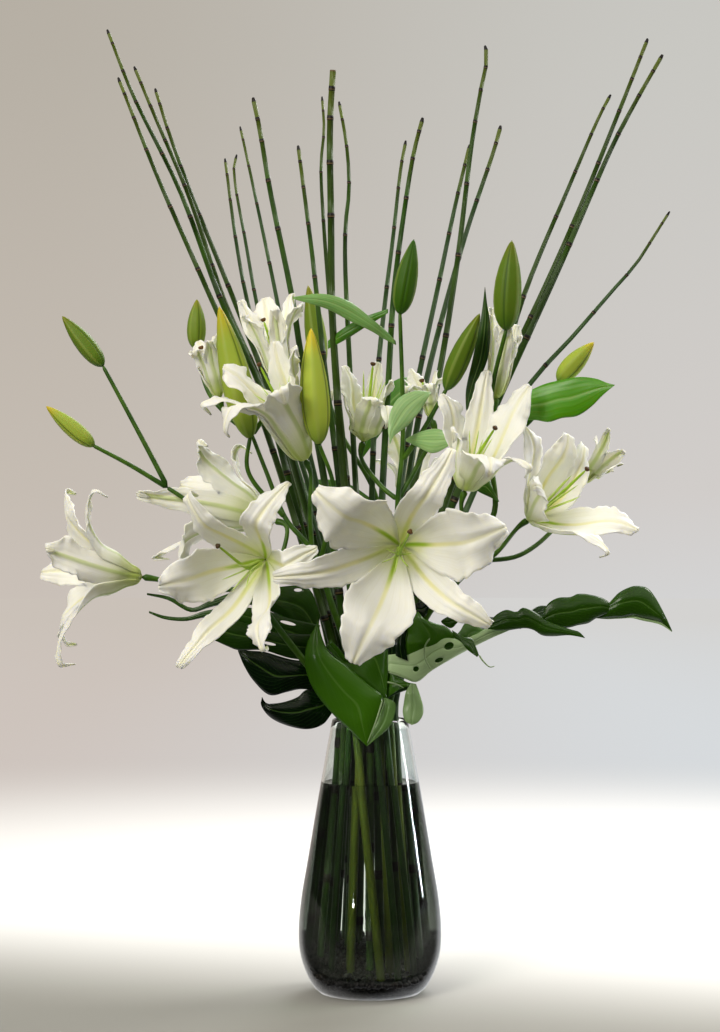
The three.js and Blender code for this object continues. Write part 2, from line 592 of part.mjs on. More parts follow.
// A stalk with its pedicels, buds and leaves in one body. Pedicels end just under their flowers.
function stalk(spec) {
  const [foot, rim, above] = inVase(spec.slot, spec.foot);
  const line = spec.line.map(seen);
  const upper = spaced([rim, above, ...line], line.length + 5);
  const points = [foot, ...upper];
  const radii = points.map((p, i) => {
    const part = Math.max(i - 1, 0) / (points.length - 2);
    return spec.thick / 2 * THREE.MathUtils.lerp(1, 0.5, part);
  });
  const parts = [tube(points, radii, STEM_SIDES)];
  const ends = new Map(spec.lilies.map(([flower, pedicel]) => [pedicel, LILIES[flower]]));
  spec.pedicels.forEach((route, i) => {
    const places = route.map(seen);
    const flower = ends.get(i);
    if (flower) {
      const base = seen(flower.base);
      const axis = seen(flower.mouth).sub(base).normalize();
      const under = (drop) => base.clone().addScaledVector(axis, -drop);
      places.push(under(NECK), under(GAP));
      places.splice(0, places.length, ...spaced(places, places.length + 1));
      places.splice(-2, 2, under(NECK * 0.7), under(GAP));
    }
    const run = flower ? places : spaced(places, places.length + 1);
    const [thick, thin] = PEDICEL_RADII;
    parts.push(tube(run, run.map((p, k) => THREE.MathUtils.lerp(thick, thin, k / (run.length - 1))), 4));
  });
  spec.buds.forEach((shape) => parts.push(bud(shape)));
  spec.leaves.forEach((shape) => parts.push(lilyLeaf(shape)));
  return joined(parts);
}

// Bodies turned round the vase's axis.
function turned(profile) {
  const outline = profile.map(([r, z]) => new THREE.Vector2(r, z));
  const geometry = new THREE.LatheGeometry(outline, VASE_SIDES);
  geometry.rotateX(Math.PI / 2);
  return geometry;
}

// A monstera leaf: broad lobes cut nearly to the rib, holes beside it, and the leaf's own stalk in the vase.
function monstera(spec) {
  const [foot, rim, above] = inVase(spec.slot, spec.foot);
  const petiole = [foot, ...spaced([rim, above, ...spec.petiole.map(seen)], spec.petiole.length + 3)];
  const radii = petiole.map((p, i) => (
    PETIOLE_THICKNESS / 2 * THREE.MathUtils.lerp(1, 0.7, i / (petiole.length - 1))));
  const parts = [tube(petiole, radii, STEM_SIDES)];
  spec.lobes.forEach(({ line, width, face }) => {
    const curve = new THREE.CatmullRomCurve3(line.map(seen), false, 'centripetal');
    const points = LOBE_PROFILE.map(([t]) => curve.getPointAt(t));
    const axes = frames(points, new THREE.Vector3(...face));
    parts.push(skin(points.map((p, i) => {
      const half = LOBE_PROFILE[i][1] * width / 2;
      const place = (u, lift) => p.clone().addScaledVector(axes[i].across, u * half)
        .addScaledVector(axes[i].side, -u * u * half * 0.12 + lift);
      return [place(-1, 0), place(0, BLADE_THICKNESS / 2), place(1, 0), place(0, -BLADE_THICKNESS / 2)];
    }), true));
  });
  const leaf = joined(parts);
  return spec.holes.reduce((whole, [across, up, depth, size]) => {
    const middle = seen([across, up, depth]);
    const reach = new THREE.Vector3(0, 14, 0);
    const cutter = tube([middle.clone().sub(reach), middle.clone().add(reach)], [size, size], 5, 0, UP);
    return whole.subtract(solid(cutter));
  }, leaf);
}

function vase() {
  return turned([[0, 0], ...VASE_OUTSIDE, ...VASE_RIM, ...VASE_INSIDE, [0, VASE_FLOOR]]);
}

// The inner wall's radius at a height, less the gap.
function insideRadius(z) {
  const wall = [...VASE_INSIDE].reverse();
  const next = wall.findIndex(([, height]) => height >= z);
  const [r0, z0] = wall[next - 1];
  const [r1, z1] = wall[next];
  return THREE.MathUtils.lerp(r0, r1, (z - z0) / (z1 - z0)) - GAP;
}

// What fills the vase between two levels, with its top drawn from the wall in to the axis.
function filling(bottom, edge, crown) {
  const wall = [...VASE_INSIDE].reverse()
    .filter(([, z]) => z > bottom + 1 && z < edge - 1)
    .map(([r, z]) => [r - GAP, z]);
  return turned([[0, bottom], [insideRadius(bottom), bottom], ...wall, [insideRadius(edge), edge], ...crown]);
}

function stemHole(foot, rim, thick) {
  const radius = thick / 2 + GAP * 1.5;
  const down = foot.clone().sub(rim).setLength(GAP * 1.5);
  return solid(tube([foot.clone().add(down), rim], [radius, radius], STEM_SIDES));
}

function stemHoles() {
  const reeds = Object.values(REEDS).map((spec) => [inVase(spec.slot), spec.thick[0]]);
  const stalks = Object.values(STALKS).map((spec) => [inVase(spec.slot, spec.foot), spec.thick]);
  const petioles = Object.values(MONSTERA).map((spec) => [inVase(spec.slot, spec.foot), PETIOLE_THICKNESS]);
  return [...reeds, ...stalks, ...petioles].map(([[foot, rim], thick]) => stemHole(foot, rim, thick));
}

function water(holes) {
  const geometry = filling(WATER_BOTTOM, WATER_TOP, [[0, WATER_TOP]]);
  return holes.reduce((whole, hole) => whole.subtract(hole), solid(geometry));
}

// The grit's top is a shallow uneven bed.
function grit(holes) {
  const geometry = filling(VASE_FLOOR + GAP, GRIT_EDGE, GRIT_CROWN);
  const place = geometry.attributes.position;
  for (let i = 0; i < place.count; i += 1) {
    const x = place.getX(i);
    const y = place.getY(i);
    const z = place.getZ(i);
    if (z > GRIT_EDGE) place.setZ(i, z + GRIT_SWELL * Math.sin(x * 0.21 + 1) * Math.cos(y * 0.17) - 1);
  }
  return holes.reduce((whole, hole) => whole.subtract(hole), solid(geometry));
}

const group = new THREE.Group();

function add(name, geometry, look) {
  const mesh = new THREE.Mesh(geometry, look);
  mesh.name = name;
  group.add(mesh);
}

add('vase', vase(), MATERIALS.glass);
const holes = stemHoles();
add('water', geometryOf(water(holes)), MATERIALS.water);
add('grit', geometryOf(grit(holes)), MATERIALS.grit);
for (const [number, spec] of Object.entries(REEDS)) {
  add(`horsetail_${number.padStart(2, '0')}`, reed(spec), MATERIALS.reed);
}
for (const [name, spec] of Object.entries(STALKS)) {
  add(`stalk_${name}`, geometryOf(stalk(spec)), MATERIALS.stalk);
}
for (const [number, spec] of Object.entries(LILIES)) {
  const label = number.padStart(2, '0');
  add(`lily_${label}`, perianth(spec), MATERIALS.petal);
  add(`pistil_${label}`, geometryOf(pistil(spec)), MATERIALS.pistil);
}

for (const [name, spec] of Object.entries(MONSTERA)) {
  add(`monstera_${name}`, geometryOf(monstera(spec)), MATERIALS.leaf);
}

export default group;
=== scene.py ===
import math
import random

import bpy
from mathutils import Matrix, Vector


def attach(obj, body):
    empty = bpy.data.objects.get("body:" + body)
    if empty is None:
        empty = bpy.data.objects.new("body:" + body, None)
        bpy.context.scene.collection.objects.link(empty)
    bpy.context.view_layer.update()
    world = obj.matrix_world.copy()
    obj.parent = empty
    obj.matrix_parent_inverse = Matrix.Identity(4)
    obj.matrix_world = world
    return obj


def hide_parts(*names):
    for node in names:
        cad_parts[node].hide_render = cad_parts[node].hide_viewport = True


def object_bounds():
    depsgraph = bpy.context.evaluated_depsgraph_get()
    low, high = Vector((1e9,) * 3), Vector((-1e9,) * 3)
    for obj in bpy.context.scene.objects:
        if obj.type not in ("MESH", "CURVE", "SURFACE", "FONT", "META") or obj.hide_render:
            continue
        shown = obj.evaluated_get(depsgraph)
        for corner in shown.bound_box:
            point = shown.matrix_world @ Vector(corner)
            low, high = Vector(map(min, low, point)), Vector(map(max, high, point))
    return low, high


# A clear glass vase of white lilies, horsetail reed and three monstera leaves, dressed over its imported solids.
# Sizes are in millimetres until a piece's points are set, where MM turns them to metres.
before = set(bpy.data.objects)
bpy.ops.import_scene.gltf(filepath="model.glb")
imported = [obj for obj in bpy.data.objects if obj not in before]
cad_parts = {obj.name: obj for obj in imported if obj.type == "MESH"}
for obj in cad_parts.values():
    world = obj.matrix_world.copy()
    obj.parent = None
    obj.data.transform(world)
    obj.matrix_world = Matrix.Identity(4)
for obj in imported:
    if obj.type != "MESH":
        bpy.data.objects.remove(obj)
cad_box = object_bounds()
MM = 0.001
UP = Vector((0, 0, 1))
EYE = Vector((-10, -2490, 475))
SEED = 7
SKIN = 0.0006

# Vase, water and grit: radius and height, from the base up.
VASE_HEIGHT = 272
VASE_FLOOR = 6
VASE_OUTSIDE = [(50, 0), (55, 4), (62, 15), (69.6, 37), (71.4, 58), (69, 91), (62, 133), (48.6, 212), (38.2, 270)]
VASE_RIM = [(37.6, 271.6), (36.9, VASE_HEIGHT), (36.2, 271.6), (35.6, 270)]
VASE_INSIDE = [(46, 212), (59.2, 133), (66, 91), (68, 58), (66, 37), (58, 15), (48, VASE_FLOOR)]
VASE_SIDES = 96
GRIT_TOP = 51
GRIT_FRONT = 17
WATER_TOP = 209

# Stems pass the rim on a close-packed pattern, and spread from there to their feet in the grit.
STEM_SPACING = 9.8
ROW_SPACING = STEM_SPACING * math.sqrt(3) / 2
FOOT_SPREAD = 1.72
FOOT_LEVEL = 19
RIM_CLEARANCE = 22
ROW_FAN = 0.045
GAP = 0.3

# Horsetail reeds: half spacings across and rows back at the rim, thickness at the foot and the tip, and the line
# above the vase from low to high, across and up.
REEDS = {
    1: ((-6, 0), (8.4, 3.2), [(-76, 490), (-104, 590), (-149, 691), (-190, 800), (-237, 896), (-263, 962)]),
    2: ((-5, -1), (7.8, 3.4), [(-84, 500), (-120, 604), (-164, 704), (-212, 813), (-252, 914)]),
    3: ((-5, 1), (8.0, 3.4), [(-76, 500), (-108, 604), (-146, 691), (-180, 792), (-214, 872), (-236, 925)]),
    4: ((-4, 2), (8.0, 3.4), [(-72, 510), (-102, 604), (-136, 691), (-176, 790), (-201, 858), (-215, 903)]),
    5: ((-3, 3), (7.2, 3.0), [(-60, 480), (-104, 620), (-123, 691), (-134, 750), (-145, 833)]),
    6: ((-2, 2), (7.0, 2.6), [(-54, 480), (-98, 620), (-114, 691), (-126, 758), (-133, 795), (-136, 824),
                              (-133, 837)]),
    7: ((-3, 1), (7.2, 2.6), [(-50, 490), (-80, 620), (-93, 691), (-112, 782), (-126, 847), (-130, 865)]),
    8: ((-4, 0), (8.6, 4.4), [(-44, 500), (-68, 630), (-78, 694), (-100, 801), (-110, 860), (-117, 894)]),
    9: ((-2, 0), (8.0, 3.6), [(-30, 500), (-46, 630), (-58, 738), (-66, 800), (-72, 846)]),
    10: ((0, -2), (8.8, 6.0), [(-27, 521), (-33, 600), (-38, 683), (-39, 771), (-40, 864), (-37, 921)]),
    11: ((-1, 1), (7.4, 2.6), [(-22, 500), (-36, 640), (-42, 710), (-46, 762), (-49, 826), (-46, 862),
                               (-48, 895)]),
    12: ((0, 2), (7.6, 3.2), [(-14, 500), (-20, 620), (-25, 737), (-24, 771), (-21, 800), (-23, 842), (-31, 890)]),
    13: ((1, 1), (7.6, 3.2), [(2, 500), (8, 620), (16, 697), (23, 753), (31, 824), (36, 851)]),
    14: ((1, -1), (8.4, 4.0), [(12, 490), (19, 620), (24, 700), (34, 778), (44, 839), (53, 874)]),
    15: ((2, 0), (8.2, 3.8), [(38, 480), (64, 590), (86, 720), (102, 849), (111, 902), (117, 934), (115, 946)]),
    16: ((3, 1), (8.0, 3.6), [(28, 480), (44, 590), (68, 704), (86, 789), (100, 847)]),
    17: ((2, 2), (8.0, 4.0), [(34, 480), (54, 600), (85, 720), (100, 770), (124, 841), (131, 866)]),
    18: ((5, 1), (8.2, 3.2), [(78, 480), (122, 590), (154, 696), (198, 802), (230, 876), (241, 897)]),
    19: ((4, 0), (8.4, 3.6), [(72, 480), (118, 590), (150, 651), (204, 769), (250, 882), (278, 953)]),
    20: ((3, -1), (8.6, 3.8), [(80, 480), (128, 590), (189, 723), (243, 846), (265, 888), (293, 937)]),
    21: ((5, -1), (8.0, 2.6), [(100, 490), (155, 600), (205, 657), (244, 702), (266, 727), (286, 758),
                               (300, 780)]),
}
# Reeds painted paler and greyer, a painted haze that stands for the light behind them at the back.
HAZED_REEDS = {5, 6, 7, 13, 16, 17, 21}
CUT_REED = 10
SUNK_GIRTH = 0.82

# Each lily: its base on the pedicel, the middle of its mouth, where its stigma shows, and its six tips in turn,
# the broad petals and the narrow sepals by turns, starting with a petal.
LILIES = {
    1: ((30, 446, -85), (27, 430, -150), (40, 459, -172), [
        (135, 464, -160), (82, 541, -150), (-54, 500, -165), (-96, 414, -160), (-17, 328, -150), (120, 366, -155)]),
    2: ((-104, 432, -70), (-131, 416, -120), (-152, 445, -140), [
        (-83, 507, -120), (-182, 496, -125), (-212, 405, -150), (-192, 323, -165), (-107, 340, -150),
        (-57, 441, -130)]),
    3: ((-228, 414, -40), (-285, 422, -55), None, [
        (-302, 499, -15), (-275, 500, -95), (-324, 442, -110), (-310, 326, -75), (-303, 346, -20), (-329, 418, 10)]),
    4: ((-96, 470, -25), (-150, 490, -5), None, [
        (-172, 550, -40), (-130, 545, 30), (-190, 505, 70), (-215, 433, 30), (-190, 430, -30), (-234, 497, -45)]),
    5: ((-65, 531, -72), (-98, 604, -106), None, [
        (-74, 644, -126), (-95, 650, -94), (-147, 623, -100), (-169, 586, -122), (-145, 561, -146),
        (-90, 600, -156)]),
    6: ((-85, 600, -52), (-100, 655, -58), None, [
        (-67, 688, -64), (-79, 697, -35), (-106, 693, -25), (-130, 691, -44), (-126, 676, -72), (-95, 682, -76)]),
    7: ((-150, 592, -34), (-163, 632, -34), None, [
        (-150, 660, -45), (-155, 655, -15), (-172, 650, -10), (-180, 640, -30), (-176, 640, -52), (-160, 650, -58)]),
    8: ((-7, 549, -20), (0, 592, -30), (3, 627, -40), [
        (22, 611, -38), (9, 629, -6), (-27, 625, -18), (-38, 600, -38), (4, 591, -75), (18, 570, -70)]),
    9: ((62, 572, -28), (56, 602, -26), None, [
        (74, 612, -40), (66, 620, -12), (40, 622, -8), (32, 612, -22), (36, 600, -46), (60, 604, -54)]),
    10: ((95, 500, -80), (108, 545, -98), (125, 563, -112), [
        (160, 605, -88), (117, 621, -75), (72, 597, -78), (84, 560, -120), (120, 520, -165), (160, 523, -140)]),
    11: ((158, 471, -45), (190, 494, -75), (217, 522, -92), [
        (197, 557, -60), (151, 566, -65), (165, 505, -120), (238, 438, -120), (268, 460, -90), (214, 545, -25)]),
    12: ((212, 508, 8), (232, 530, 14), None, [
        (254, 540, -6), (252, 527, 24), (238, 520, 42), (226, 540, 40), (226, 555, 20), (239, 562, -4)]),
    13: ((126, 592, -48), (132, 640, -50), None, [
        (150, 655, -62), (147, 666, -36), (134, 682, -28), (121, 684, -34), (122, 676, -60), (138, 664, -72)]),
    14: ((34, 486, 84), (44, 520, 104), None, [
        (80, 540, 120), (60, 562, 105), (20, 560, 100), (5, 530, 120), (30, 505, 160), (70, 505, 150)]),
}
# Tepals wider than the rest, or narrower because they are rolled or turned edge-on, by bloom and place in its tips.
BREADTH = {(1, 0): 1.3, (1, 2): 1.25, (1, 4): 1.25, (2, 0): 0.62, (2, 2): 1.1, (2, 3): 0.8, (2, 4): 0.8, (3, 3): 1.15,
           (4, 0): 0.75, (4, 1): 0.7, (4, 5): 0.8, (5, 3): 1.2, (5, 4): 1.25, (5, 5): 1.5, (8, 3): 0.7, (11, 0): 0.95,
           (11, 1): 1.25}
# Blooms that open flat or have a wide base, and how far some reach with their filaments, as shares of their depth.
FLARED = {1: 1.0, 2: 0.75, 8: 0.8, 10: 0.3, 11: 0.5}
BELLY = {5: 1.15, 8: 1.35, 10: 1.5, 11: 1.25}
FILAMENT_REACH = {1: 0.8, 2: 1.15, 8: 1.5, 10: 1.25, 11: 1.4}
PETAL_HALF_WIDTH = 28
SEPAL_HALF_WIDTH = 18
PETAL_PROFILE = [(0, 0.2), (0.12, 0.5), (0.25, 0.86), (0.4, 1), (0.52, 1), (0.64, 0.9), (0.76, 0.68), (0.86, 0.4),
                 (0.93, 0.2), (0.98, 0.1), (1, 0.03)]
SEPAL_PROFILE = [(0, 0.26), (0.12, 0.6), (0.25, 0.9), (0.4, 1), (0.55, 0.94), (0.7, 0.76), (0.82, 0.5), (0.9, 0.3),
                 (0.97, 0.14), (1, 0.04)]
TEPAL_THICKNESS = 1.0
HEART = 12
FULL_REACH = 125
LEAST_SIZE = 0.42

# Lily stalks: slot at the rim, foot, thickness, main line, pedicels, buds (pedicel's end, tip, width, ripeness),
# flowers by pedicel, and leaves (two edges as seen, depths
# at root and tip, tone from a dark green in shade to a pale backlit green).
STALKS = {
    "left": dict(
        slot=(-3, -3), foot=(10, -46), thick=8,
        line=[(-40, 300, -34), (-66, 330, -46), (-108, 386, -58), (-140, 440, -52), (-160, 471, -46),
              (-187, 493, -42), (-202, 503, -42)],
        pedicels=[[(-202, 503, -42), (-232, 560, -40), (-267, 625, -40)],
                  [(-202, 503, -42), (-240, 526, -46), (-276, 545, -50)],
                  [(-120, 402, -57), (-170, 402, -40), (-214, 402, -38)],
                  [(-112, 392, -58), (-106, 412, -62)],
                  [(-112, 392, -58), (-94, 420, -40), (-84, 450, -28)]],
        buds=[((-267, 625, -40), (-308, 675, -40), 19, 0.2), ((-276, 545, -50), (-324, 585, -56), 17, 0.75)],
        flowers={2: 3, 3: 2, 4: 4}, leaves=[]),
    "upper_left": dict(
        slot=(-2, -2), foot=None, thick=7.6,
        line=[(-36, 380, -52), (-58, 440, -56), (-84, 472, -52), (-104, 520, -48), (-118, 556, -44)],
        pedicels=[[(-58, 440, -56), (-60, 480, -64), (-66, 512, -68)],
                  [(-84, 472, -52), (-122, 520, -58), (-120, 553, -60)],
                  [(-52, 420, -55), (-36, 500, -86), (-51, 547, -100)],
                  [(-118, 556, -44), (-104, 574, -48), (-92, 588, -50)],
                  [(-118, 556, -44), (-140, 572, -38)],
                  [(-118, 556, -44), (-160, 596, -2), (-174, 642, 12)]],
        buds=[((-120, 553, -60), (-151, 685, -66), 30, 0.7), ((-51, 547, -100), (-59, 663, -108), 29, 0.95),
              ((-174, 642, 12), (-173, 692, 12), 19, 0.3)],
        flowers={0: 5, 3: 6, 4: 7}, leaves=[]),
    "middle": dict(
        slot=(2, -2), foot=None, thick=7.6,
        line=[(24, 380, -32), (27, 440, -36), (28, 491, -42), (33, 551, -48), (30, 677, -60)],
        pedicels=[[(26, 410, -34), (29, 440, -64)],
                  [(28, 491, -42), (10, 506, -34), (-6, 532, -22)],
                  [(32, 530, -46), (50, 556, -56), (76, 601, -70)],
                  [(28, 491, -42), (50, 530, -34), (60, 556, -30)]],
        buds=[((30, 677, -60), (44, 752, -62), 23, 0.0), ((76, 601, -70), (110, 678, -84), 21, 0.15)],
        flowers={0: 1, 1: 8, 3: 9},
        leaves=[([(25.5, 650), (14, 662), (3, 671), (-20, 689), (-47, 697), (-77, 694)],
                 [(26, 646), (14, 652), (3, 659), (-20, 670), (-43, 682), (-77, 692)], (-60, -92), 0.72),
                ([(18, 682), (-8, 673), (-29, 661), (-42, 650)], [(18, 678), (-6, 663), (-27, 650), (-42, 642)],
                 (-64, -50), 0.3),
                ([(61, 599), (45, 600), (29, 593), (21, 580), (18, 562), (20, 548)],
                 [(61, 598), (59, 595), (50, 580), (36, 564), (24, 555), (20, 547)], (-66, -92), 0.9),
                ([(36, 552), (50, 559), (68, 562), (88, 552)], [(36, 550), (48, 544), (64, 538), (88, 551)],
                 (-54, -86), 0.85)]),
    "right": dict(
        slot=(4, -2), foot=None, thick=7.8,
        line=[(36, 330, -20), (60, 380, -34), (86, 408, -46), (104, 430, -50), (116, 460, -52), (125, 482, -52),
              (120, 540, -50), (122, 600, -62), (136, 661, -84)],
        pedicels=[[(92, 416, -48), (124, 436, -54), (152, 462, -48)],
                  [(104, 430, -50), (96, 460, -70), (94, 484, -78)],
                  [(104, 430, -50), (150, 436, -30), (190, 470, 0), (206, 500, 6)],
                  [(120, 540, -50), (160, 570, -48), (188, 610, -56)],
                  [(120, 540, -50), (126, 574, -48)]],
        buds=[((136, 661, -84), (142, 751, -88), 27, 0.15), ((188, 610, -56), (224, 649, -66), 20, 0.8)],
        flowers={0: 11, 1: 10, 2: 12, 4: 13},
        leaves=[([(122, 578), (142, 591), (157, 599), (175, 607), (192, 611), (210, 614), (227, 612), (237, 608),
                  (245, 606)],
                 [(122, 562), (142, 568), (164, 571), (179, 569), (192, 573), (207, 575), (221, 584), (233, 596),
                  (245, 606)], (-56, -80), 0.5),
                ([(96, 582), (96, 600), (104, 638), (112, 680), (115, 704)],
                 [(97, 580), (108, 608), (118, 634), (120, 666), (117, 688), (115, 704)], (-54, -64), 0.0),
                ([(104, 505), (118, 512), (123, 502), (129, 490)], [(104, 503), (111, 498), (120, 494), (129, 489)],
                 (-54, -68), 0.2)]),
    "back": dict(
        slot=(1, 3), foot=None, thick=7.6,
        line=[(6, 380, 44), (14, 440, 62), (4, 500, 76), (-30, 560, 84), (-50, 620, 96)],
        pedicels=[[(14, 440, 62), (24, 460, 74), (31, 476, 80)]],
        buds=[((-50, 620, 96), (-62, 706, 104), 22, 0.3)],
        flowers={0: 14},
        leaves=[([(-12, 540), (4, 586), (28, 612), (58, 612)], [(-8, 532), (22, 572), (42, 592), (58, 610)],
                 (82, 148), 0.3),
                ([(10, 486), (-24, 508), (-60, 510), (-88, 492)], [(8, 476), (-26, 486), (-60, 486), (-88, 490)],
                 (74, 128), 0.3)]),
}

# Monstera leaves: slot, foot, the leaf's stalk up to the blade, and the lobes that show, each by its two edges from
# its root to its tip (across and up as seen, depths at root and tip), how far it swells towards the eye, and its tone
# from dark top side (0) to pale underside (1). The tone also carries painted light and shade: lobes in shade are set
# darker and lit ones brighter.
PETIOLE_THICKNESS = 6.4
MONSTERA = {
    "left": dict(slot=(-4, -2), foot=None, petiole=[(-46, 300, -20)], lobes=[
        ([(-50, 376), (-62, 403), (-100, 403), (-135, 399), (-160, 390), (-178, 383), (-200, 394), (-223, 398)],
         [(-54, 340), (-80, 368), (-110, 384), (-140, 388), (-160, 384), (-179, 379), (-202, 391), (-223, 396)],
         (-27, -16), 3, 0.2),
        ([(-50, 366), (-85, 374), (-110, 382), (-135, 383), (-165, 380), (-184, 374), (-205, 375), (-221, 380)],
         [(-54, 336), (-90, 350), (-116, 362), (-135, 371), (-163, 374), (-185, 370), (-206, 372), (-221, 378)],
         (-28, -30), 3, 0.2),
        ([(-52, 356), (-90, 359), (-110, 364), (-130, 370), (-153, 371), (-161, 364), (-170, 358)],
         [(-56, 330), (-80, 333), (-108, 341), (-132, 341), (-145, 346), (-156, 351), (-170, 357)],
         (-29, -32), 3, 0.12),
        ([(-48, 330), (-76, 331), (-106, 339), (-120, 340), (-132, 341)],
         [(-48, 300), (-70, 302), (-84, 299), (-100, 296), (-116, 310), (-125, 324), (-132, 340)],
         (-28, -34), 5, 0.0),
        ([(-42, 302), (-64, 301), (-72, 294), (-90, 288), (-104, 288), (-108, 294)],
         [(-38, 278), (-47, 267), (-63, 262), (-89, 268), (-102, 276), (-109, 287), (-108, 293)],
         (-24, -36), 5, 0.0)],
        slits=[(-82, 368, 8, 1.6, -14), (-107, 360.5, 8, 1.5, -12), (-101, 347.5, 7, 1.4, -12), (-72, 401, 4, 1.6, 0)],
        slit_depth=-8, ribs=[]),
    "front": dict(slot=(1, -3), foot=(26, -47), petiole=[(12, 294, -48.5)], lobes=[
        ([(-52, 370), (-63, 346), (-65, 327), (-57, 303), (-38, 278), (-20, 261), (-3, 245)],
         [(-52, 370), (-48, 353), (-41, 339), (-21, 323), (0, 305), (13, 293), (6, 269), (-3, 245)],
         (-54, -57), 6, 0.46),
        ([(13, 293), (9, 280), (4, 266), (-3, 245)], [(16, 293), (25, 288), (24, 275), (18, 263), (8, 254), (-3, 245)],
         (-54, -57), 2, 0.56),
        ([(-44, 344), (-30, 329), (-12, 314), (4, 302), (16, 291)],
         [(-40, 352), (-29, 340), (-24, 333), (-17, 328), (-8, 337), (-3, 351), (3, 345), (16, 356), (18, 330),
          (17, 300)], (-47, -45), -3, 0.3)],
        slits=[], slit_depth=0, ribs=[[(13, 292, -60), (6, 270, -63), (-3, 247, -58)]]),
    "right": dict(slot=(3, -3), foot=(40, -35), petiole=[(43, 306, -46)], lobes=[
        ([(18, 336), (36, 339), (52, 348), (70, 359), (88, 351), (105, 356), (121, 364), (140, 364)],
         [(18, 320), (32, 315), (46, 309), (61, 320), (79, 331), (97, 341), (121, 353), (140, 361)],
         (-48, -52), 4, 0.9),
        ([(34, 336), (35, 350), (36, 359), (40, 372), (48, 379.5)],
         [(66, 338), (84, 352), (81, 360), (74, 365), (64, 368), (54, 372.5), (48, 379)], (-50, -48), 4, 0.5),
        ([(26, 335), (24, 347), (26, 358), (34, 373), (42, 387)], [(38, 330), (35, 345), (36, 357), (39, 372), (43, 386)],
         (-53, -50), 2, 0.0),
        ([(16, 330), (17, 345), (21, 362), (32, 376), (42, 387)], [(28, 335), (27, 351), (32, 363), (38, 373), (42, 385)],
         (-44, -44), 2, 0.0),
        ([(43, 386), (51, 389), (60, 387)], [(45, 379), (54, 374), (60, 386)], (-42, -40), 1, 0.0),
        ([(71, 370), (77, 374), (82, 376), (89, 372)], [(72, 368), (76, 365), (81, 363), (90, 371)], (-40, -44), 1, 0.25),
        ([(82, 361), (93, 354), (102, 352), (105, 346), (109, 336)], [(84, 354), (90, 350), (98, 341), (107, 334)],
         (-62, -74), 2, 0.25),
        ([(82, 351), (90, 360), (96, 368), (108, 364), (118, 359)], [(98, 345), (106, 350), (112, 354), (118, 358)],
         (-46, -46), 2, 0.55),
        ([(118, 364), (124, 374), (136, 381), (147, 379), (152, 383), (158, 382), (166, 378), (176, 371), (190, 365),
          (202, 361), (209, 359), (215, 353)],
         [(118, 362), (128, 361), (138, 361), (156, 363), (164, 361), (172, 356), (182, 355), (198, 356), (206, 355),
          (215, 353)], (-60, -66), 4, 0.25),
        ([(172, 372), (175, 382), (179, 388), (188, 393), (201, 394), (208, 397), (221, 396), (234, 392), (246, 382)],
         [(172, 370), (178, 366), (186, 364), (198, 363.5), (208, 366), (218, 368), (226, 373), (238, 378), (246, 380)],
         (-62, -50), 5, 0.2),
        ([(236, 384), (244, 393), (249, 398), (258, 403), (266, 405), (277, 403), (284, 395), (292, 381), (302, 360)],
         [(224, 373), (240, 373.5), (252, 374), (262, 376), (274, 373), (284, 371), (291, 369), (302, 360)],
         (-50, -50), 6, 0.22),
        ([(222, 376), (240, 376), (261, 376), (280, 375), (293, 377), (302, 360)],
         [(222, 373), (240, 372), (261, 373), (275, 370), (291, 366), (302, 359)], (-47, -50), 0, 0.75),
        ([(41, 308), (36, 299), (34, 288), (33, 278), (35.5, 270), (41, 266.5)],
         [(46, 307), (50, 295), (53, 284), (52.5, 276), (48, 269), (42, 266)], (-50, -58), 3, 0.68),
        ([(26, 331), (40, 334), (56, 346), (70, 356), (86, 350), (98, 351)],
         [(28, 320), (42, 314), (58, 320), (74, 329), (92, 341), (99, 350)], (-43, -43), 0, 0.3),
        ([(17, 320), (26, 315), (37, 309), (45, 307)], [(16, 292), (24, 298), (32, 303), (45, 306)], (-40, -48), 1, 0.45),
        ([(94, 352), (112, 372), (122, 374), (130, 372)], [(94, 346), (108, 358), (120, 362), (130, 368)],
         (-50, 44), 1, 0.1),
        ([(150, 366), (166, 384), (182, 384), (190, 380)], [(150, 362), (168, 372), (182, 374), (190, 378)],
         (-50, 44), 1, 0.1),
        ([(208, 370), (228, 390), (240, 388), (246, 382)], [(208, 368), (226, 376), (238, 378), (246, 380)],
         (-48, 34), 1, 0.1)],
        slits=[(79, 345, 5, 3.6, 25), (69, 331, 4.4, 2.2, 20), (46, 322, 2.6, 3, -60)], slit_depth=-46,
        ribs=[[(60, 353, -57), (55, 345, -58), (55, 333, -58), (61, 321, -57)],
              [(18, 319, -52), (30, 315, -54), (44, 309, -53)], [(17, 309, -50), (26, 307, -50), (34, 303, -49)],
              [(109, 336, -75), (113, 330, -78), (120, 324, -80), (125, 325, -80)]]),
}


# Geometry helpers

def clamp(value, low=0.0, high=1.0):
    return max(low, min(high, value))


def smoothstep(value, low, high):
    share = clamp((value - low) / (high - low))
    return share * share * (3 - 2 * share)


def lerp(start, end, share):
    return start + (end - start) * share


def from_table(table, share):
    """A value read off a list of (share, value) with straight runs between them."""
    for (low, first), (high, second) in zip(table, table[1:]):
        if share <= high:
            return lerp(first, second, (share - low) / (high - low))
    return table[-1][1]


def seen(place):
    """A point given as it shows from the front: across and up in the vase's own plane, and how far behind it lies."""
    across, up, depth = place
    reach = 1 - depth / EYE.y
    return Vector((EYE.x + (across - EYE.x) * reach, depth, EYE.z + (up - EYE.z) * reach))


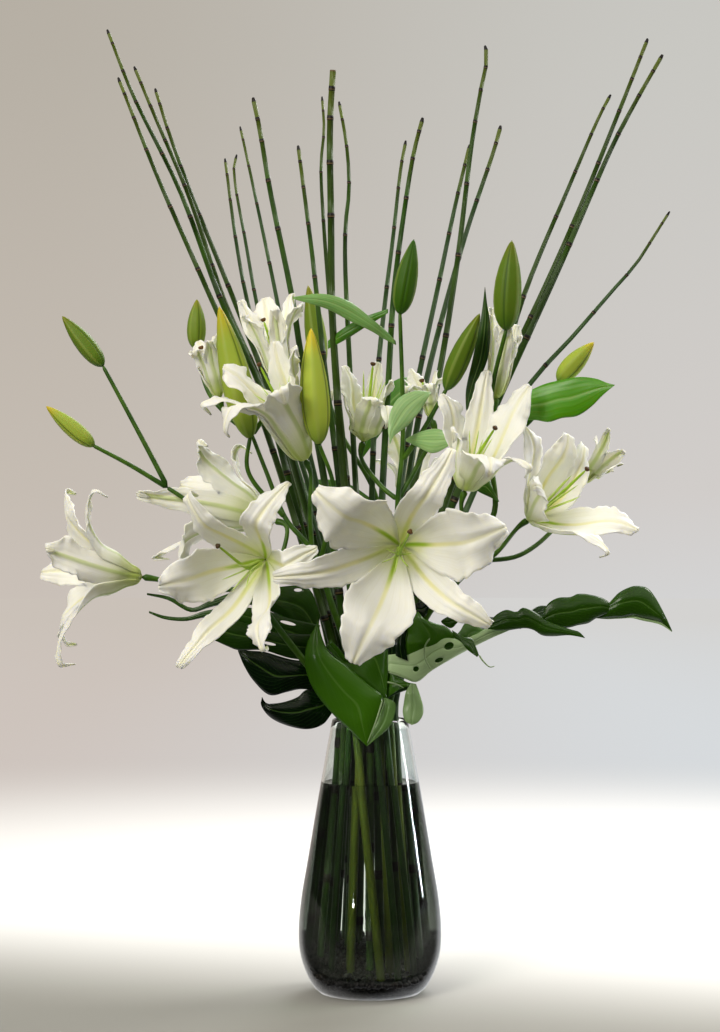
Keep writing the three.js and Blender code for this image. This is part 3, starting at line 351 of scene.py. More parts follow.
class Line:
    """A smooth line through given points, read by its share of the length."""

    def __init__(self, points, fineness=24):
        ends = [points[0] * 2 - points[1], *points, points[-1] * 2 - points[-2]]
        self.points = [points[0].copy()]
        for before, start, end, after in zip(ends, ends[1:], ends[2:], ends[3:]):
            lead, run, trail = ((b - a).length ** 0.5 for a, b in ((before, start), (start, end), (end, after)))
            leaving = ((start - before) / lead - (end - before) / (lead + run) + (end - start) / run) * run
            arriving = ((end - start) / run - (after - start) / (run + trail) + (after - end) / trail) * run
            for step in range(1, fineness + 1):
                t = step / fineness
                self.points.append(start * (2 * t**3 - 3 * t**2 + 1) + leaving * (t**3 - 2 * t**2 + t)
                                   + end * (3 * t**2 - 2 * t**3) + arriving * (t**3 - t**2))
        self.runs = [0.0]
        for a, b in zip(self.points, self.points[1:]):
            self.runs.append(self.runs[-1] + (b - a).length)
        self.length = self.runs[-1]

    def at(self, share):
        run = clamp(share) * self.length
        low, high = 0, len(self.runs) - 1
        while high - low > 1:
            middle = (low + high) // 2
            if self.runs[middle] <= run:
                low = middle
            else:
                high = middle
        span = self.runs[high] - self.runs[low]
        return self.points[low].lerp(self.points[high], (run - self.runs[low]) / span if span else 0)


def frames(points, hint):
    """(tangent, side, across) at each point, each turned as little as possible from the one before."""
    made = []
    side = Vector(hint)
    for i, point in enumerate(points):
        tangent = (points[min(i + 1, len(points) - 1)] - points[max(i - 1, 0)]).normalized()
        side = (side - tangent * side.dot(tangent)).normalized()
        made.append((tangent, side, tangent.cross(side)))
    return made


def in_vase(slot, foot=None):
    """Where a stem stands in the vase: its foot, the rim, and a little over the rim."""
    x = slot[0] * STEM_SPACING / 2
    y = slot[1] * ROW_SPACING
    foot_x, foot_y = foot or (x * FOOT_SPREAD, y * FOOT_SPREAD)
    return (Vector((foot_x, foot_y, FOOT_LEVEL)), Vector((x, y, VASE_HEIGHT)),
            Vector((x * 1.02, y * 1.02, VASE_HEIGHT + RIM_CLEARANCE)))


# Mesh helpers

def activate(piece):
    bpy.ops.object.select_all(action="DESELECT")
    piece.select_set(True)
    bpy.context.view_layer.objects.active = piece


def apply_modifier(piece, kind, **settings):
    activate(piece)
    modifier = piece.modifiers.new(kind.title(), kind)
    for name, value in settings.items():
        setattr(modifier, name, value)
    bpy.ops.object.modifier_apply(modifier=modifier.name)


def within(point):
    """The point, or the nearest one that leaves a skin's room inside the solids' own box."""
    low, high = cad_box
    return Vector([clamp(value, a + SKIN, b - SKIN) for value, a, b in zip(point, low, high)])


def grid(name, across, along, place):
    """A grid primitive whose points go to place(share across, share along), with the grid's own UV map."""
    bpy.ops.object.select_all(action="DESELECT")
    bpy.ops.mesh.primitive_grid_add(x_subdivisions=across, y_subdivisions=along, size=1)
    piece = bpy.context.object
    piece.name = name
    for vertex in piece.data.vertices:
        vertex.co = within(place(vertex.co.x + 0.5, vertex.co.y + 0.5) * MM)
    return piece


def closed(piece):
    """Merges a tube's seam and its pinched ends, and turns its faces outwards."""
    activate(piece)
    bpy.ops.object.mode_set(mode="EDIT")
    bpy.ops.mesh.select_all(action="SELECT")
    bpy.ops.mesh.remove_doubles(threshold=0.00001)
    bpy.ops.mesh.normals_make_consistent(inside=False)
    bpy.ops.object.mode_set(mode="OBJECT")
    return piece


def smooth(piece, angle=None):
    activate(piece)
    if angle is None:
        bpy.ops.object.shade_smooth()
    else:
        bpy.ops.object.shade_smooth_by_angle(angle=math.radians(angle))
    return piece


def tube(name, points, radius, sides, section=None, hint=(0, 1, 0)):
    """A round stem along its points. radius gives each point's own, and section shapes the round by angle and point.
    A point of no radius closes the tube there."""
    axes = frames(points, hint)

    def place(u, v):
        i = round(v * (len(points) - 1))
        turn = 2 * math.pi * u
        reach = radius[i] * (section(turn, i) if section else 1)
        _, side, across = axes[i]
        return points[i] + side * (reach * math.cos(turn)) + across * (reach * math.sin(turn))

    return smooth(closed(grid(name, sides, len(points) - 1, place)))


def join(name, pieces):
    bpy.ops.object.select_all(action="DESELECT")
    for piece in pieces:
        piece.select_set(True)
    bpy.context.view_layer.objects.active = pieces[0]
    if len(pieces) > 1:
        bpy.ops.object.join()
    pieces[0].name = name
    return pieces[0]


def mark(piece, name, values):
    """Gives each point of a piece, or all of them alike, the value of an attribute that its material reads."""
    layer = piece.data.attributes.new(name, "FLOAT", "POINT")
    layer.data.foreach_set("value", values if isinstance(values, list) else [values] * len(piece.data.vertices))
    return piece


def dress(piece, material, *nodes, slot):
    if material:
        piece.data.materials.append(material)
    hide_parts(*nodes)
    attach(piece, "root")
    return piece


# Materials

def linear(code):
    """An sRGB hex colour as linear red, green, blue and alpha."""
    values = [int(code[i:i + 2], 16) / 255 for i in (1, 3, 5)]
    return (*(v / 12.92 if v <= 0.04045 else ((v + 0.055) / 1.055) ** 2.4 for v in values), 1)


def node(material, kind, inputs=None, **settings):
    """Adds a node with its settings, and sets or links its inputs by name or number."""
    made = material.node_tree.nodes.new(kind)
    for name, value in settings.items():
        setattr(made, name, value)
    for name, value in (inputs or {}).items():
        if isinstance(value, bpy.types.NodeSocket):
            material.node_tree.links.new(value, made.inputs[name])
        else:
            made.inputs[name].default_value = value
    return made


def new_material(name):
    """A material and its Principled shader."""
    made = bpy.data.materials.new(name)
    made.use_nodes = True
    return made, made.node_tree.nodes["Principled BSDF"]


def set_shader(shader, values):
    for name, value in values.items():
        shader.inputs[name].default_value = value


def link(material, source, target):
    material.node_tree.links.new(source, target)


def petal_material():
    """Lily petal: a thin waxy skin over soft white tissue, with fine long veins. Inside, a lime furrow runs out from
    the heart, and outside it is yellow-green at the root with a green keel."""
    made, shader = new_material("lily petal")
    uv = node(made, "ShaderNodeSeparateXYZ", {0: node(made, "ShaderNodeTexCoord").outputs["UV"]})
    from_keel = node(made, "ShaderNodeAttribute", attribute_name="from_keel").outputs["Fac"]
    furrow = node(made, "ShaderNodeMapRange", {"Value": from_keel, "From Min": 3.6, "From Max": 0.6},
                  interpolation_type="SMOOTHSTEP").outputs[0]
    along = node(made, "ShaderNodeMapRange", {"Value": uv.outputs["Y"], "From Min": 0.36, "From Max": 0.17},
                 interpolation_type="SMOOTHSTEP").outputs[0]
    lime = node(made, "ShaderNodeMath", {0: along, 1: node(made, "ShaderNodeAttribute", attribute_name="lime").outputs["Fac"]},
                operation="MULTIPLY").outputs[0]
    yellow = node(made, "ShaderNodeMapRange", {"Value": uv.outputs["Y"], "From Min": 0.75, "From Max": 0.35,
                                               "To Min": 0.3, "To Max": 0.75}).outputs[0]
    heart = node(made, "ShaderNodeMapRange", {"Value": uv.outputs["Y"], "From Min": 0.3, "From Max": 0.0},
                 interpolation_type="SMOOTHSTEP").outputs[0]
    veins = node(made, "ShaderNodeTexNoise", {
        "Vector": node(made, "ShaderNodeMapping", {
            "Vector": node(made, "ShaderNodeTexCoord").outputs["UV"], "Scale": (42, 1.6, 1)}).outputs[0],
        "Scale": 1.0, "Detail": 3.0})
    base = node(made, "ShaderNodeMix", {
        0: node(made, "ShaderNodeMapRange", {"Value": veins.outputs[0], "From Min": 0.35, "From Max": 0.75,
                                             "To Max": 0.6}).outputs[0],
        6: linear("#f6f5ee"), 7: linear("#ece9da")}, data_type="RGBA").outputs[2]
    rib = node(made, "ShaderNodeMix", {
        0: node(made, "ShaderNodeMath", {0: furrow, 1: yellow}, operation="MULTIPLY").outputs[0],
        6: base, 7: linear("#ece6a6")}, data_type="RGBA").outputs[2]
    throat = node(made, "ShaderNodeMix", {
        0: node(made, "ShaderNodeMath", {0: heart, 1: 0.8}, operation="MULTIPLY").outputs[0],
        6: rib, 7: linear("#e4eaa8")}, data_type="RGBA").outputs[2]
    green = node(made, "ShaderNodeMix", {
        0: node(made, "ShaderNodeMath", {0: furrow, 1: lime}, operation="MULTIPLY").outputs[0],
        6: throat, 7: linear("#aecb42")}, data_type="RGBA").outputs[2]
    root = node(made, "ShaderNodeMapRange", {"Value": uv.outputs["Y"], "From Min": 0.5, "From Max": 0.02,
                                             "To Max": 0.9}, interpolation_type="SMOOTHSTEP").outputs[0]
    rooted = node(made, "ShaderNodeMix", {0: root, 6: base, 7: linear("#b3c25a")}, data_type="RGBA").outputs[2]
    keel = node(made, "ShaderNodeMix", {
        0: node(made, "ShaderNodeMath", {0: furrow, 1: 0.55}, operation="MULTIPLY").outputs[0],
        6: rooted, 7: linear("#a8be48")}, data_type="RGBA").outputs[2]
    skin = node(made, "ShaderNodeMix", {
        0: node(made, "ShaderNodeAttribute", attribute_name="outside").outputs["Fac"], 6: green, 7: keel},
        data_type="RGBA").outputs[2]
    link(made, skin, shader.inputs["Base Color"])
    ribs = node(made, "ShaderNodeTexNoise", {
        "Vector": node(made, "ShaderNodeMapping", {
            "Vector": node(made, "ShaderNodeTexCoord").outputs["UV"], "Scale": (13, 1.2, 1)}).outputs[0],
        "Scale": 1.0, "Detail": 1.0})
    bump = node(made, "ShaderNodeBump", {"Height": ribs.outputs[0], "Strength": 0.3, "Distance": 0.0008})
    link(made, bump.outputs[0], shader.inputs["Normal"])
    set_shader(shader, {"Roughness": 0.42, "IOR": 1.42, "Subsurface Weight": 0.75, "Subsurface Scale": 0.002,
                        "Subsurface Radius": (1.0, 0.95, 0.75)})
    return made


def bud_material():
    """Lily bud: closed green sepals, yellower and paler as it ripens, with a painted highlight along each ridge and
    painted shade in the seams between them.
    """
    made, shader = new_material("lily bud")
    uv = node(made, "ShaderNodeSeparateXYZ", {0: node(made, "ShaderNodeTexCoord").outputs["UV"]})
    ripe = node(made, "ShaderNodeAttribute", attribute_name="ripeness").outputs["Fac"]
    body = node(made, "ShaderNodeMix", {0: ripe, 6: linear("#3a6006"), 7: linear("#b6c84a")},
                data_type="RGBA").outputs[2]
    ends = node(made, "ShaderNodeMix", {0: ripe, 6: linear("#2f5a06"), 7: linear("#e2c92c")},
                data_type="RGBA").outputs[2]
    tip = node(made, "ShaderNodeMapRange", {"Value": uv.outputs["Y"], "From Min": 0.72, "From Max": 1.0},
               interpolation_type="SMOOTHSTEP").outputs[0]
    foot = node(made, "ShaderNodeMapRange", {"Value": uv.outputs["Y"], "From Min": 0.28, "From Max": 0.0},
                interpolation_type="SMOOTHSTEP").outputs[0]
    toned = node(made, "ShaderNodeMix", {0: tip, 6: body, 7: ends}, data_type="RGBA").outputs[2]
    heel = node(made, "ShaderNodeMix", {0: ripe, 6: linear("#33600a"), 7: linear("#7f9c34")},
                data_type="RGBA").outputs[2]
    rooted = node(made, "ShaderNodeMix", {0: foot, 6: toned, 7: heel}, data_type="RGBA").outputs[2]
    wave = node(made, "ShaderNodeMath", {0: node(made, "ShaderNodeMath", {0: uv.outputs["X"], 1: 6 * math.pi},
                operation="MULTIPLY").outputs[0]}, operation="COSINE").outputs[0]
    seam = node(made, "ShaderNodeMapRange", {"Value": wave, "From Min": 0.93, "From Max": 1.0},
                interpolation_type="SMOOTHSTEP").outputs[0]
    # Pale lines along each sepal's middle ridge are a painted highlight.
    rib = node(made, "ShaderNodeMapRange", {"Value": wave, "From Min": -0.8, "From Max": -1.0, "To Max": 0.3},
               interpolation_type="SMOOTHSTEP").outputs[0]
    ribbed = node(made, "ShaderNodeMix", {0: rib, 6: rooted, 7: linear("#a3b25c")}, data_type="RGBA").outputs[2]
    # Dark lines along the seam grooves are painted shade.
    seam_shaded = node(made, "ShaderNodeMix", {
        0: node(made, "ShaderNodeMath", {0: seam, 1: 0.6}, operation="MULTIPLY").outputs[0],
        6: ribbed, 7: linear("#2c4a0c")}, data_type="RGBA").outputs[2]
    link(made, seam_shaded, shader.inputs["Base Color"])
    streaks = node(made, "ShaderNodeTexNoise", {
        "Vector": node(made, "ShaderNodeMapping", {
            "Vector": node(made, "ShaderNodeTexCoord").outputs["UV"], "Scale": (9, 1.2, 1)}).outputs[0],
        "Scale": 1.0, "Detail": 1.0})
    bump = node(made, "ShaderNodeBump", {"Height": streaks.outputs[0], "Strength": 0.06, "Distance": 0.0004})
    link(made, bump.outputs[0], shader.inputs["Normal"])
    set_shader(shader, {"Roughness": 0.5, "IOR": 1.45, "Specular IOR Level": 0.22, "Subsurface Weight": 0.15,
                        "Subsurface Scale": 0.003})
    return made


def lily_leaf_material():
    """Lily leaf: thin, satin and veined lengthways. Its tone paints how the leaf is lit, from a dark green in shade to
    a pale backlit green.
    """
    made, shader = new_material("lily leaf")
    uv = node(made, "ShaderNodeSeparateXYZ", {0: node(made, "ShaderNodeTexCoord").outputs["UV"]})
    tone = node(made, "ShaderNodeAttribute", attribute_name="tone").outputs["Fac"]
    veins = node(made, "ShaderNodeTexNoise", {
        "Vector": node(made, "ShaderNodeMapping", {
            "Vector": node(made, "ShaderNodeTexCoord").outputs["UV"], "Scale": (16, 0.8, 1)}).outputs[0],
        "Scale": 1.0, "Detail": 2.0})
    # The tone paints how the leaf is lit: dark green where it lies in shade, pale green where light comes through it.
    lit = node(made, "ShaderNodeMix", {
        0: node(made, "ShaderNodeMapRange", {"Value": tone, "From Max": 0.5}).outputs[0],
        6: linear("#0f3406"), 7: linear("#4c9204")}, data_type="RGBA").outputs[2]
    body = node(made, "ShaderNodeMix", {
        0: node(made, "ShaderNodeMapRange", {"Value": tone, "From Min": 0.5}).outputs[0],
        6: lit, 7: linear("#9cbc86")}, data_type="RGBA").outputs[2]
    lines = node(made, "ShaderNodeMath", {0: node(made, "ShaderNodeMath", {
        0: uv.outputs["X"], 1: 14 * math.pi, 2: veins.outputs[0]}, operation="MULTIPLY_ADD").outputs[0]},
        operation="COSINE").outputs[0]
    striped = node(made, "ShaderNodeMapRange", {"Value": tone, "From Min": 0.5, "To Min": 0.04, "To Max": 0.35}).outputs[0]
    midrib = node(made, "ShaderNodeMapRange", {"Value": node(made, "ShaderNodeMath", {
        0: node(made, "ShaderNodeMath", {0: uv.outputs["X"], 1: 0.5}, operation="SUBTRACT").outputs[0]},
        operation="ABSOLUTE").outputs[0], "From Min": 0.05, "From Max": 0.01, "To Max": 0.3}).outputs[0]
    ribbed = node(made, "ShaderNodeMath", {0: midrib, 1: node(made, "ShaderNodeMapRange", {
        "Value": lines, "From Min": 0.3, "From Max": 1.0, "To Max": striped}).outputs[0]}, operation="MAXIMUM").outputs[0]
    patchy = node(made, "ShaderNodeMix", {
        0: node(made, "ShaderNodeMapRange", {"Value": veins.outputs[0], "From Min": 0.4, "From Max": 0.65,
                                             "To Max": 0.22}).outputs[0],
        6: body, 7: linear("#6fa31c")}, data_type="RGBA").outputs[2]
    veined = node(made, "ShaderNodeMix", {0: ribbed, 6: patchy, 7: linear("#b4d088")}, data_type="RGBA").outputs[2]
    link(made, veined, shader.inputs["Base Color"])
    bump = node(made, "ShaderNodeBump", {"Height": lines, "Strength": 0.12, "Distance": 0.0004})
    link(made, bump.outputs[0], shader.inputs["Normal"])
    set_shader(shader, {"Roughness": 0.36, "IOR": 1.45, "Subsurface Weight": 0.15, "Subsurface Scale": 0.002})
    return made


def stem_material(name, dark, light, roughness, sunk=None):
    """Green lily stem or pistil: smooth skin, mottled from dark to light over about 20 mm. A sunk colour, where one is
    given, takes over from the rim down into the vase."""
    made, shader = new_material(name)
    mottle = node(made, "ShaderNodeTexNoise", {
        "Vector": node(made, "ShaderNodeTexCoord").outputs["Object"], "Scale": 50.0, "Detail": 3.0})
    body = node(made, "ShaderNodeMix", {
        0: node(made, "ShaderNodeMapRange", {"Value": mottle.outputs[0], "From Min": 0.35, "From Max": 0.65}).outputs[0],
        6: linear(dark), 7: linear(light)}, data_type="RGBA").outputs[2]
    if sunk:
        height = node(made, "ShaderNodeSeparateXYZ", {0: node(made, "ShaderNodeTexCoord").outputs["Object"]}).outputs["Z"]
        body = node(made, "ShaderNodeMix", {
            0: node(made, "ShaderNodeMapRange", {"Value": height, "From Min": VASE_HEIGHT * MM,
                                                 "From Max": VASE_HEIGHT * MM * 0.8}).outputs[0],
            6: body, 7: linear(sunk)}, data_type="RGBA").outputs[2]
    link(made, body, shader.inputs["Base Color"])
    bump = node(made, "ShaderNodeBump", {"Height": mottle.outputs[0], "Strength": 0.15, "Distance": 0.0005})
    link(made, bump.outputs[0], shader.inputs["Normal"])
    set_shader(shader, {"Roughness": roughness, "IOR": 1.45, "Specular IOR Level": 0.35})
    return made


def horsetail_material():
    """Horsetail stem: fine lengthways ridges hard with silica, deep green, greyer where a painted haze of back light
    lies on it, and darker with painted shade inside the vase.
    """
    made, shader = new_material("horsetail stem")
    uv = node(made, "ShaderNodeSeparateXYZ", {0: node(made, "ShaderNodeTexCoord").outputs["UV"]})
    backlit_haze = node(made, "ShaderNodeAttribute", attribute_name="backlit_haze").outputs["Fac"]
    ridges = node(made, "ShaderNodeMath", {0: node(made, "ShaderNodeMath", {0: uv.outputs["X"], 1: 36 * math.pi},
                  operation="MULTIPLY").outputs[0]}, operation="SINE").outputs[0]
    patches = node(made, "ShaderNodeTexNoise", {
        "Vector": node(made, "ShaderNodeTexCoord").outputs["Object"], "Scale": 26.0, "Detail": 3.0})
    fresh = node(made, "ShaderNodeMix", {
        0: node(made, "ShaderNodeMapRange", {"Value": patches.outputs[0], "From Min": 0.35, "From Max": 0.7}).outputs[0],
        6: linear("#1a3a08"), 7: linear("#3f6c0e")}, data_type="RGBA").outputs[2]
    olive = node(made, "ShaderNodeAttribute", attribute_name="olive").outputs["Fac"]
    aged = node(made, "ShaderNodeMix", {0: olive, 6: fresh, 7: linear("#3c5010")}, data_type="RGBA").outputs[2]
    # Painted haze: a paler grey-green where back light lies on the reed.
    waxy = node(made, "ShaderNodeMix", {0: backlit_haze, 6: aged, 7: linear("#46623c")}, data_type="RGBA").outputs[2]
    tip = node(made, "ShaderNodeMapRange", {"Value": uv.outputs["Y"], "From Min": 0.9, "From Max": 1.0,
                                            "To Max": 0.8}, interpolation_type="SMOOTHSTEP").outputs[0]
    height = node(made, "ShaderNodeSeparateXYZ", {0: node(made, "ShaderNodeTexCoord").outputs["Object"]}).outputs["Z"]
    # Painted shade: the reed darkens from just above the rim down to the water, and stays darker under it.
    neck_shade = node(made, "ShaderNodeMix", {
        0: node(made, "ShaderNodeMapRange", {"Value": height, "From Min": (VASE_HEIGHT + 15) * MM,
                                             "From Max": WATER_TOP * MM, "To Max": 0.7}).outputs[0],
        6: waxy, 7: linear("#0f1f07")}, data_type="RGBA").outputs[2]
    ripe = node(made, "ShaderNodeMix", {0: tip, 6: neck_shade, 7: linear("#6d7a2c")}, data_type="RGBA").outputs[2]
    ridged = node(made, "ShaderNodeMix", {
        0: node(made, "ShaderNodeMapRange", {"Value": ridges, "From Min": -1.0, "From Max": 1.0, "To Max": 0.22}).outputs[0],
        6: ripe, 7: linear("#0f2408")}, data_type="RGBA").outputs[2]
    link(made, ridged, shader.inputs["Base Color"])
    bump = node(made, "ShaderNodeBump", {"Height": ridges, "Strength": 0.35, "Distance": 0.0003})
    link(made, bump.outputs[0], shader.inputs["Normal"])
    set_shader(shader, {"Roughness": 0.36, "IOR": 1.46, "Specular IOR Level": 0.35})
    return made


def monstera_material():
    """Monstera leaf: thick waxy blade, dark and glossy, with a pale midrib and side veins, greyer underneath, and
    painted light and shade by its tone.
    """
    made, shader = new_material("monstera leaf")
    uv = node(made, "ShaderNodeSeparateXYZ", {0: node(made, "ShaderNodeTexCoord").outputs["UV"]})
    tone = node(made, "ShaderNodeAttribute", attribute_name="tone").outputs["Fac"]
    off_centre = node(made, "ShaderNodeMath", {0: node(made, "ShaderNodeMath", {0: uv.outputs["X"], 1: 0.5},
                      operation="SUBTRACT").outputs[0]}, operation="ABSOLUTE").outputs[0]
    rib = node(made, "ShaderNodeMapRange", {"Value": off_centre, "From Min": 0.035, "From Max": 0.012},
               interpolation_type="SMOOTHSTEP").outputs[0]
    slanted = node(made, "ShaderNodeMath", {0: node(made, "ShaderNodeMath", {0: off_centre, 1: 1.1},
                   operation="MULTIPLY").outputs[0], 1: uv.outputs["Y"]}, operation="SUBTRACT").outputs[0]
    veins = node(made, "ShaderNodeMapRange", {
        "Value": node(made, "ShaderNodeMath", {0: node(made, "ShaderNodeMath", {0: slanted, 1: 18 * math.pi},
                      operation="MULTIPLY").outputs[0]}, operation="COSINE").outputs[0],
        "From Min": 0.9, "From Max": 1.0}, interpolation_type="SMOOTHSTEP").outputs[0]
    patches = node(made, "ShaderNodeTexNoise", {
        "Vector": node(made, "ShaderNodeTexCoord").outputs["Object"], "Scale": 34.0, "Detail": 4.0})
    # The tone runs from the dark top side to the pale underside, and also paints light and shade: lobes in shade
    # darker, lit ones brighter.
    top = node(made, "ShaderNodeMix", {
        0: node(made, "ShaderNodeMapRange", {"Value": patches.outputs[0], "From Min": 0.3, "From Max": 0.7}).outputs[0],
        6: linear("#020f02"), 7: linear("#082205")}, data_type="RGBA").outputs[2]
    bright = node(made, "ShaderNodeMix", {
        0: node(made, "ShaderNodeMapRange", {"Value": tone, "From Max": 0.5}).outputs[0],
        6: top, 7: linear("#3b6a0a")}, data_type="RGBA").outputs[2]
    side = node(made, "ShaderNodeMix", {
        0: node(made, "ShaderNodeMapRange", {"Value": tone, "From Min": 0.5}).outputs[0],
        6: bright, 7: linear("#cce8b0")}, data_type="RGBA").outputs[2]
    lines = node(made, "ShaderNodeMath", {0: rib, 1: node(made, "ShaderNodeMath", {0: veins, 1: 0.2},
                 operation="MULTIPLY").outputs[0]}, operation="MAXIMUM").outputs[0]
    veined = node(made, "ShaderNodeMix", {
        0: node(made, "ShaderNodeMath", {0: lines, 1: 0.4}, operation="MULTIPLY").outputs[0],
        6: side, 7: linear("#5f8438")}, data_type="RGBA").outputs[2]
    link(made, veined, shader.inputs["Base Color"])
    bump = node(made, "ShaderNodeBump", {"Height": lines, "Strength": 0.25, "Distance": 0.0010}, invert=True)
    link(made, bump.outputs[0], shader.inputs["Normal"])
    set_shader(shader, {"Roughness": 0.24, "IOR": 1.45, "Specular IOR Level": 0.4})
    return made


def clear_material(name, colour, ior, shine, edge=None):
    """A clear body that lets lamp light through to what stands inside it. Towards its edges as seen, it may darken to
    an edge colour, a painted shade for the dark sides of water in a glass."""
    made, shader = new_material(name)
    set_shader(shader, {"Base Color": linear(colour), "Roughness": 0.0, "IOR": ior, "Specular IOR Level": shine,
                        "Transmission Weight": 1.0})
    # Painted shade: the edges darken as seen, for the dark sides of water in a glass.
    if edge:
        facing = node(made, "ShaderNodeLayerWeight", {"Blend": 0.5}).outputs["Facing"]
        link(made, node(made, "ShaderNodeMix", {
            0: node(made, "ShaderNodeMapRange", {"Value": facing, "From Min": 0.06, "From Max": 0.22},
                    interpolation_type="SMOOTHSTEP").outputs[0],
            6: linear(colour), 7: linear(edge)}, data_type="RGBA").outputs[2], shader.inputs["Base Color"])
    rays = node(made, "ShaderNodeLightPath")
    passing = node(made, "ShaderNodeBsdfTransparent", {"Color": linear(colour)})
    mixed = node(made, "ShaderNodeMixShader", {
        0: rays.outputs["Is Shadow Ray"], 1: shader.outputs[0], 2: passing.outputs[0]})
    link(made, mixed.outputs[0], made.node_tree.nodes["Material Output"].inputs["Surface"])
    return made


def grit_material():
    """Washed basalt grit: broken dark stone, wet and slightly shiny, with a few brown grains among the black."""
    made, shader = new_material("basalt grit")
    place = node(made, "ShaderNodeTexCoord").outputs["Object"]
    grains = node(made, "ShaderNodeTexVoronoi", {"Vector": place, "Scale": 170.0})
    body = node(made, "ShaderNodeMix", {
        0: node(made, "ShaderNodeMapRange", {"Value": grains.outputs["Color"], "From Min": 0.7, "From Max": 1.0}).outputs[0],
        6: linear("#050504"), 7: linear("#221c15")}, data_type="RGBA").outputs[2]
    link(made, body, shader.inputs["Base Color"])
    rough = node(made, "ShaderNodeTexNoise", {"Vector": place, "Scale": 900.0, "Detail": 4.0})
    bump = node(made, "ShaderNodeBump", {"Height": rough.outputs[0], "Strength": 0.5, "Distance": 0.0004})
    link(made, bump.outputs[0], shader.inputs["Normal"])
    set_shader(shader, {"Roughness": 0.5, "IOR": 1.5, "Specular IOR Level": 0.25})
    return made


def paper_material():
    """Graduated background paper with a faint tooth, white behind the vase. The grey in front of it and to its left is
    a painted shadow of the vase and bouquet, and the grey beside it and far in front is painted shade. Far away it
    gives off a painted glow in the wall's tones, so that it meets the wall."""
    made, shader = new_material("graduated paper")
    place = node(made, "ShaderNodeTexCoord").outputs["Object"]
    axes = node(made, "ShaderNodeSeparateXYZ", {0: place})
    # Painted shadow of the vase and bouquet, falling to the front and left: grey there, white behind and to the right.
    shadow_slant = node(made, "ShaderNodeMath", {0: axes.outputs["X"], 1: 0.35, 2: axes.outputs["Y"]},
                 operation="MULTIPLY_ADD").outputs[0]
    cast_shadow_tone = node(made, "ShaderNodeMix", {
        0: node(made, "ShaderNodeMapRange", {"Value": shadow_slant, "From Min": -0.2, "From Max": 0.42},
                interpolation_type="SMOOTHSTEP").outputs[0],
        6: linear("#8c8b85"), 7: linear("#f2f2f1")}, data_type="RGBA").outputs[2]
    # Painted shade beside the pool of light and far in front of the vase.
    beside = node(made, "ShaderNodeMath", {
        0: axes.outputs["Y"], 1: -0.15, 2: node(made, "ShaderNodeMath", {0: axes.outputs["X"]},
                                               operation="ABSOLUTE").outputs[0]},
        operation="MULTIPLY_ADD").outputs[0]
    painted_dim = node(made, "ShaderNodeMath", {
        0: node(made, "ShaderNodeMapRange", {"Value": beside, "From Min": 0.4, "From Max": 0.75}).outputs[0],
        1: node(made, "ShaderNodeMapRange", {"Value": axes.outputs["Y"], "From Min": -0.22, "From Max": -0.8}).outputs[0]},
        operation="MAXIMUM").outputs[0]
    seen_tone = node(made, "ShaderNodeMix", {0: painted_dim, 6: cast_shadow_tone, 7: linear("#a5a39c")}, data_type="RGBA").outputs[2]
    # What the glass mirrors of the paper in front of it lies in the room's shade.
    unseen = node(made, "ShaderNodeMath", {0: 1.0, 1: node(made, "ShaderNodeLightPath").outputs["Is Camera Ray"]},
                  operation="SUBTRACT").outputs[0]
    before = node(made, "ShaderNodeMapRange", {"Value": axes.outputs["Y"], "From Min": -0.07, "From Max": -0.22},
                  interpolation_type="SMOOTHSTEP").outputs[0]
    shaded = node(made, "ShaderNodeMath", {0: unseen, 1: before}, operation="MULTIPLY").outputs[0]
    tone = node(made, "ShaderNodeMix", {0: shaded, 6: seen_tone, 7: linear("#2a2927")}, data_type="RGBA").outputs[2]
    link(made, tone, shader.inputs["Base Color"])
    made.cycles.emission_sampling = "NONE"
    tooth = node(made, "ShaderNodeTexNoise", {"Vector": place, "Scale": 400.0, "Detail": 3.0})
    link(made, node(made, "ShaderNodeBump", {"Height": tooth.outputs[0], "Strength": 0.05}).outputs[0],
         shader.inputs["Normal"])
    set_shader(shader, {"Roughness": 0.8})
    # Far off, the paper gives off a painted glow in the wall's tones, darkened in front for rays the eye does not see.
    away = node(made, "ShaderNodeVectorMath", {0: place}, operation="LENGTH").outputs["Value"]
    cool = node(made, "ShaderNodeMapRange", {"Value": axes.outputs["X"], "From Min": -0.85, "From Max": 0.85},
                interpolation_type="SMOOTHSTEP").outputs[0]
    nearer_glow, far = (node(made, "ShaderNodeMix", {0: cool, 6: linear(warm), 7: linear(cold)}, data_type="RGBA").outputs[2]
                   for warm, cold in HORIZON_GLOW_TONES)
    horizon_glow = node(made, "ShaderNodeMix", {
        0: node(made, "ShaderNodeMapRange", {"Value": away, "From Min": 2.5, "From Max": 9.0}).outputs[0],
        6: nearer_glow, 7: far}, data_type="RGBA").outputs[2]
    horizon_glow = node(made, "ShaderNodeMix", {0: shaded, 6: horizon_glow, 7: linear("#2e2c2a")}, data_type="RGBA").outputs[2]
    glow_blend = node(made, "ShaderNodeMixShader", {
        0: node(made, "ShaderNodeMapRange", {"Value": away, "From Min": 0.7, "From Max": 2.5},
                interpolation_type="SMOOTHSTEP").outputs[0],
        1: shader.outputs[0], 2: node(made, "ShaderNodeEmission", {"Color": horizon_glow}).outputs[0]})
    link(made, glow_blend.outputs[0], made.node_tree.nodes["Material Output"].inputs["Surface"])
    return made


# Vase, water and grit

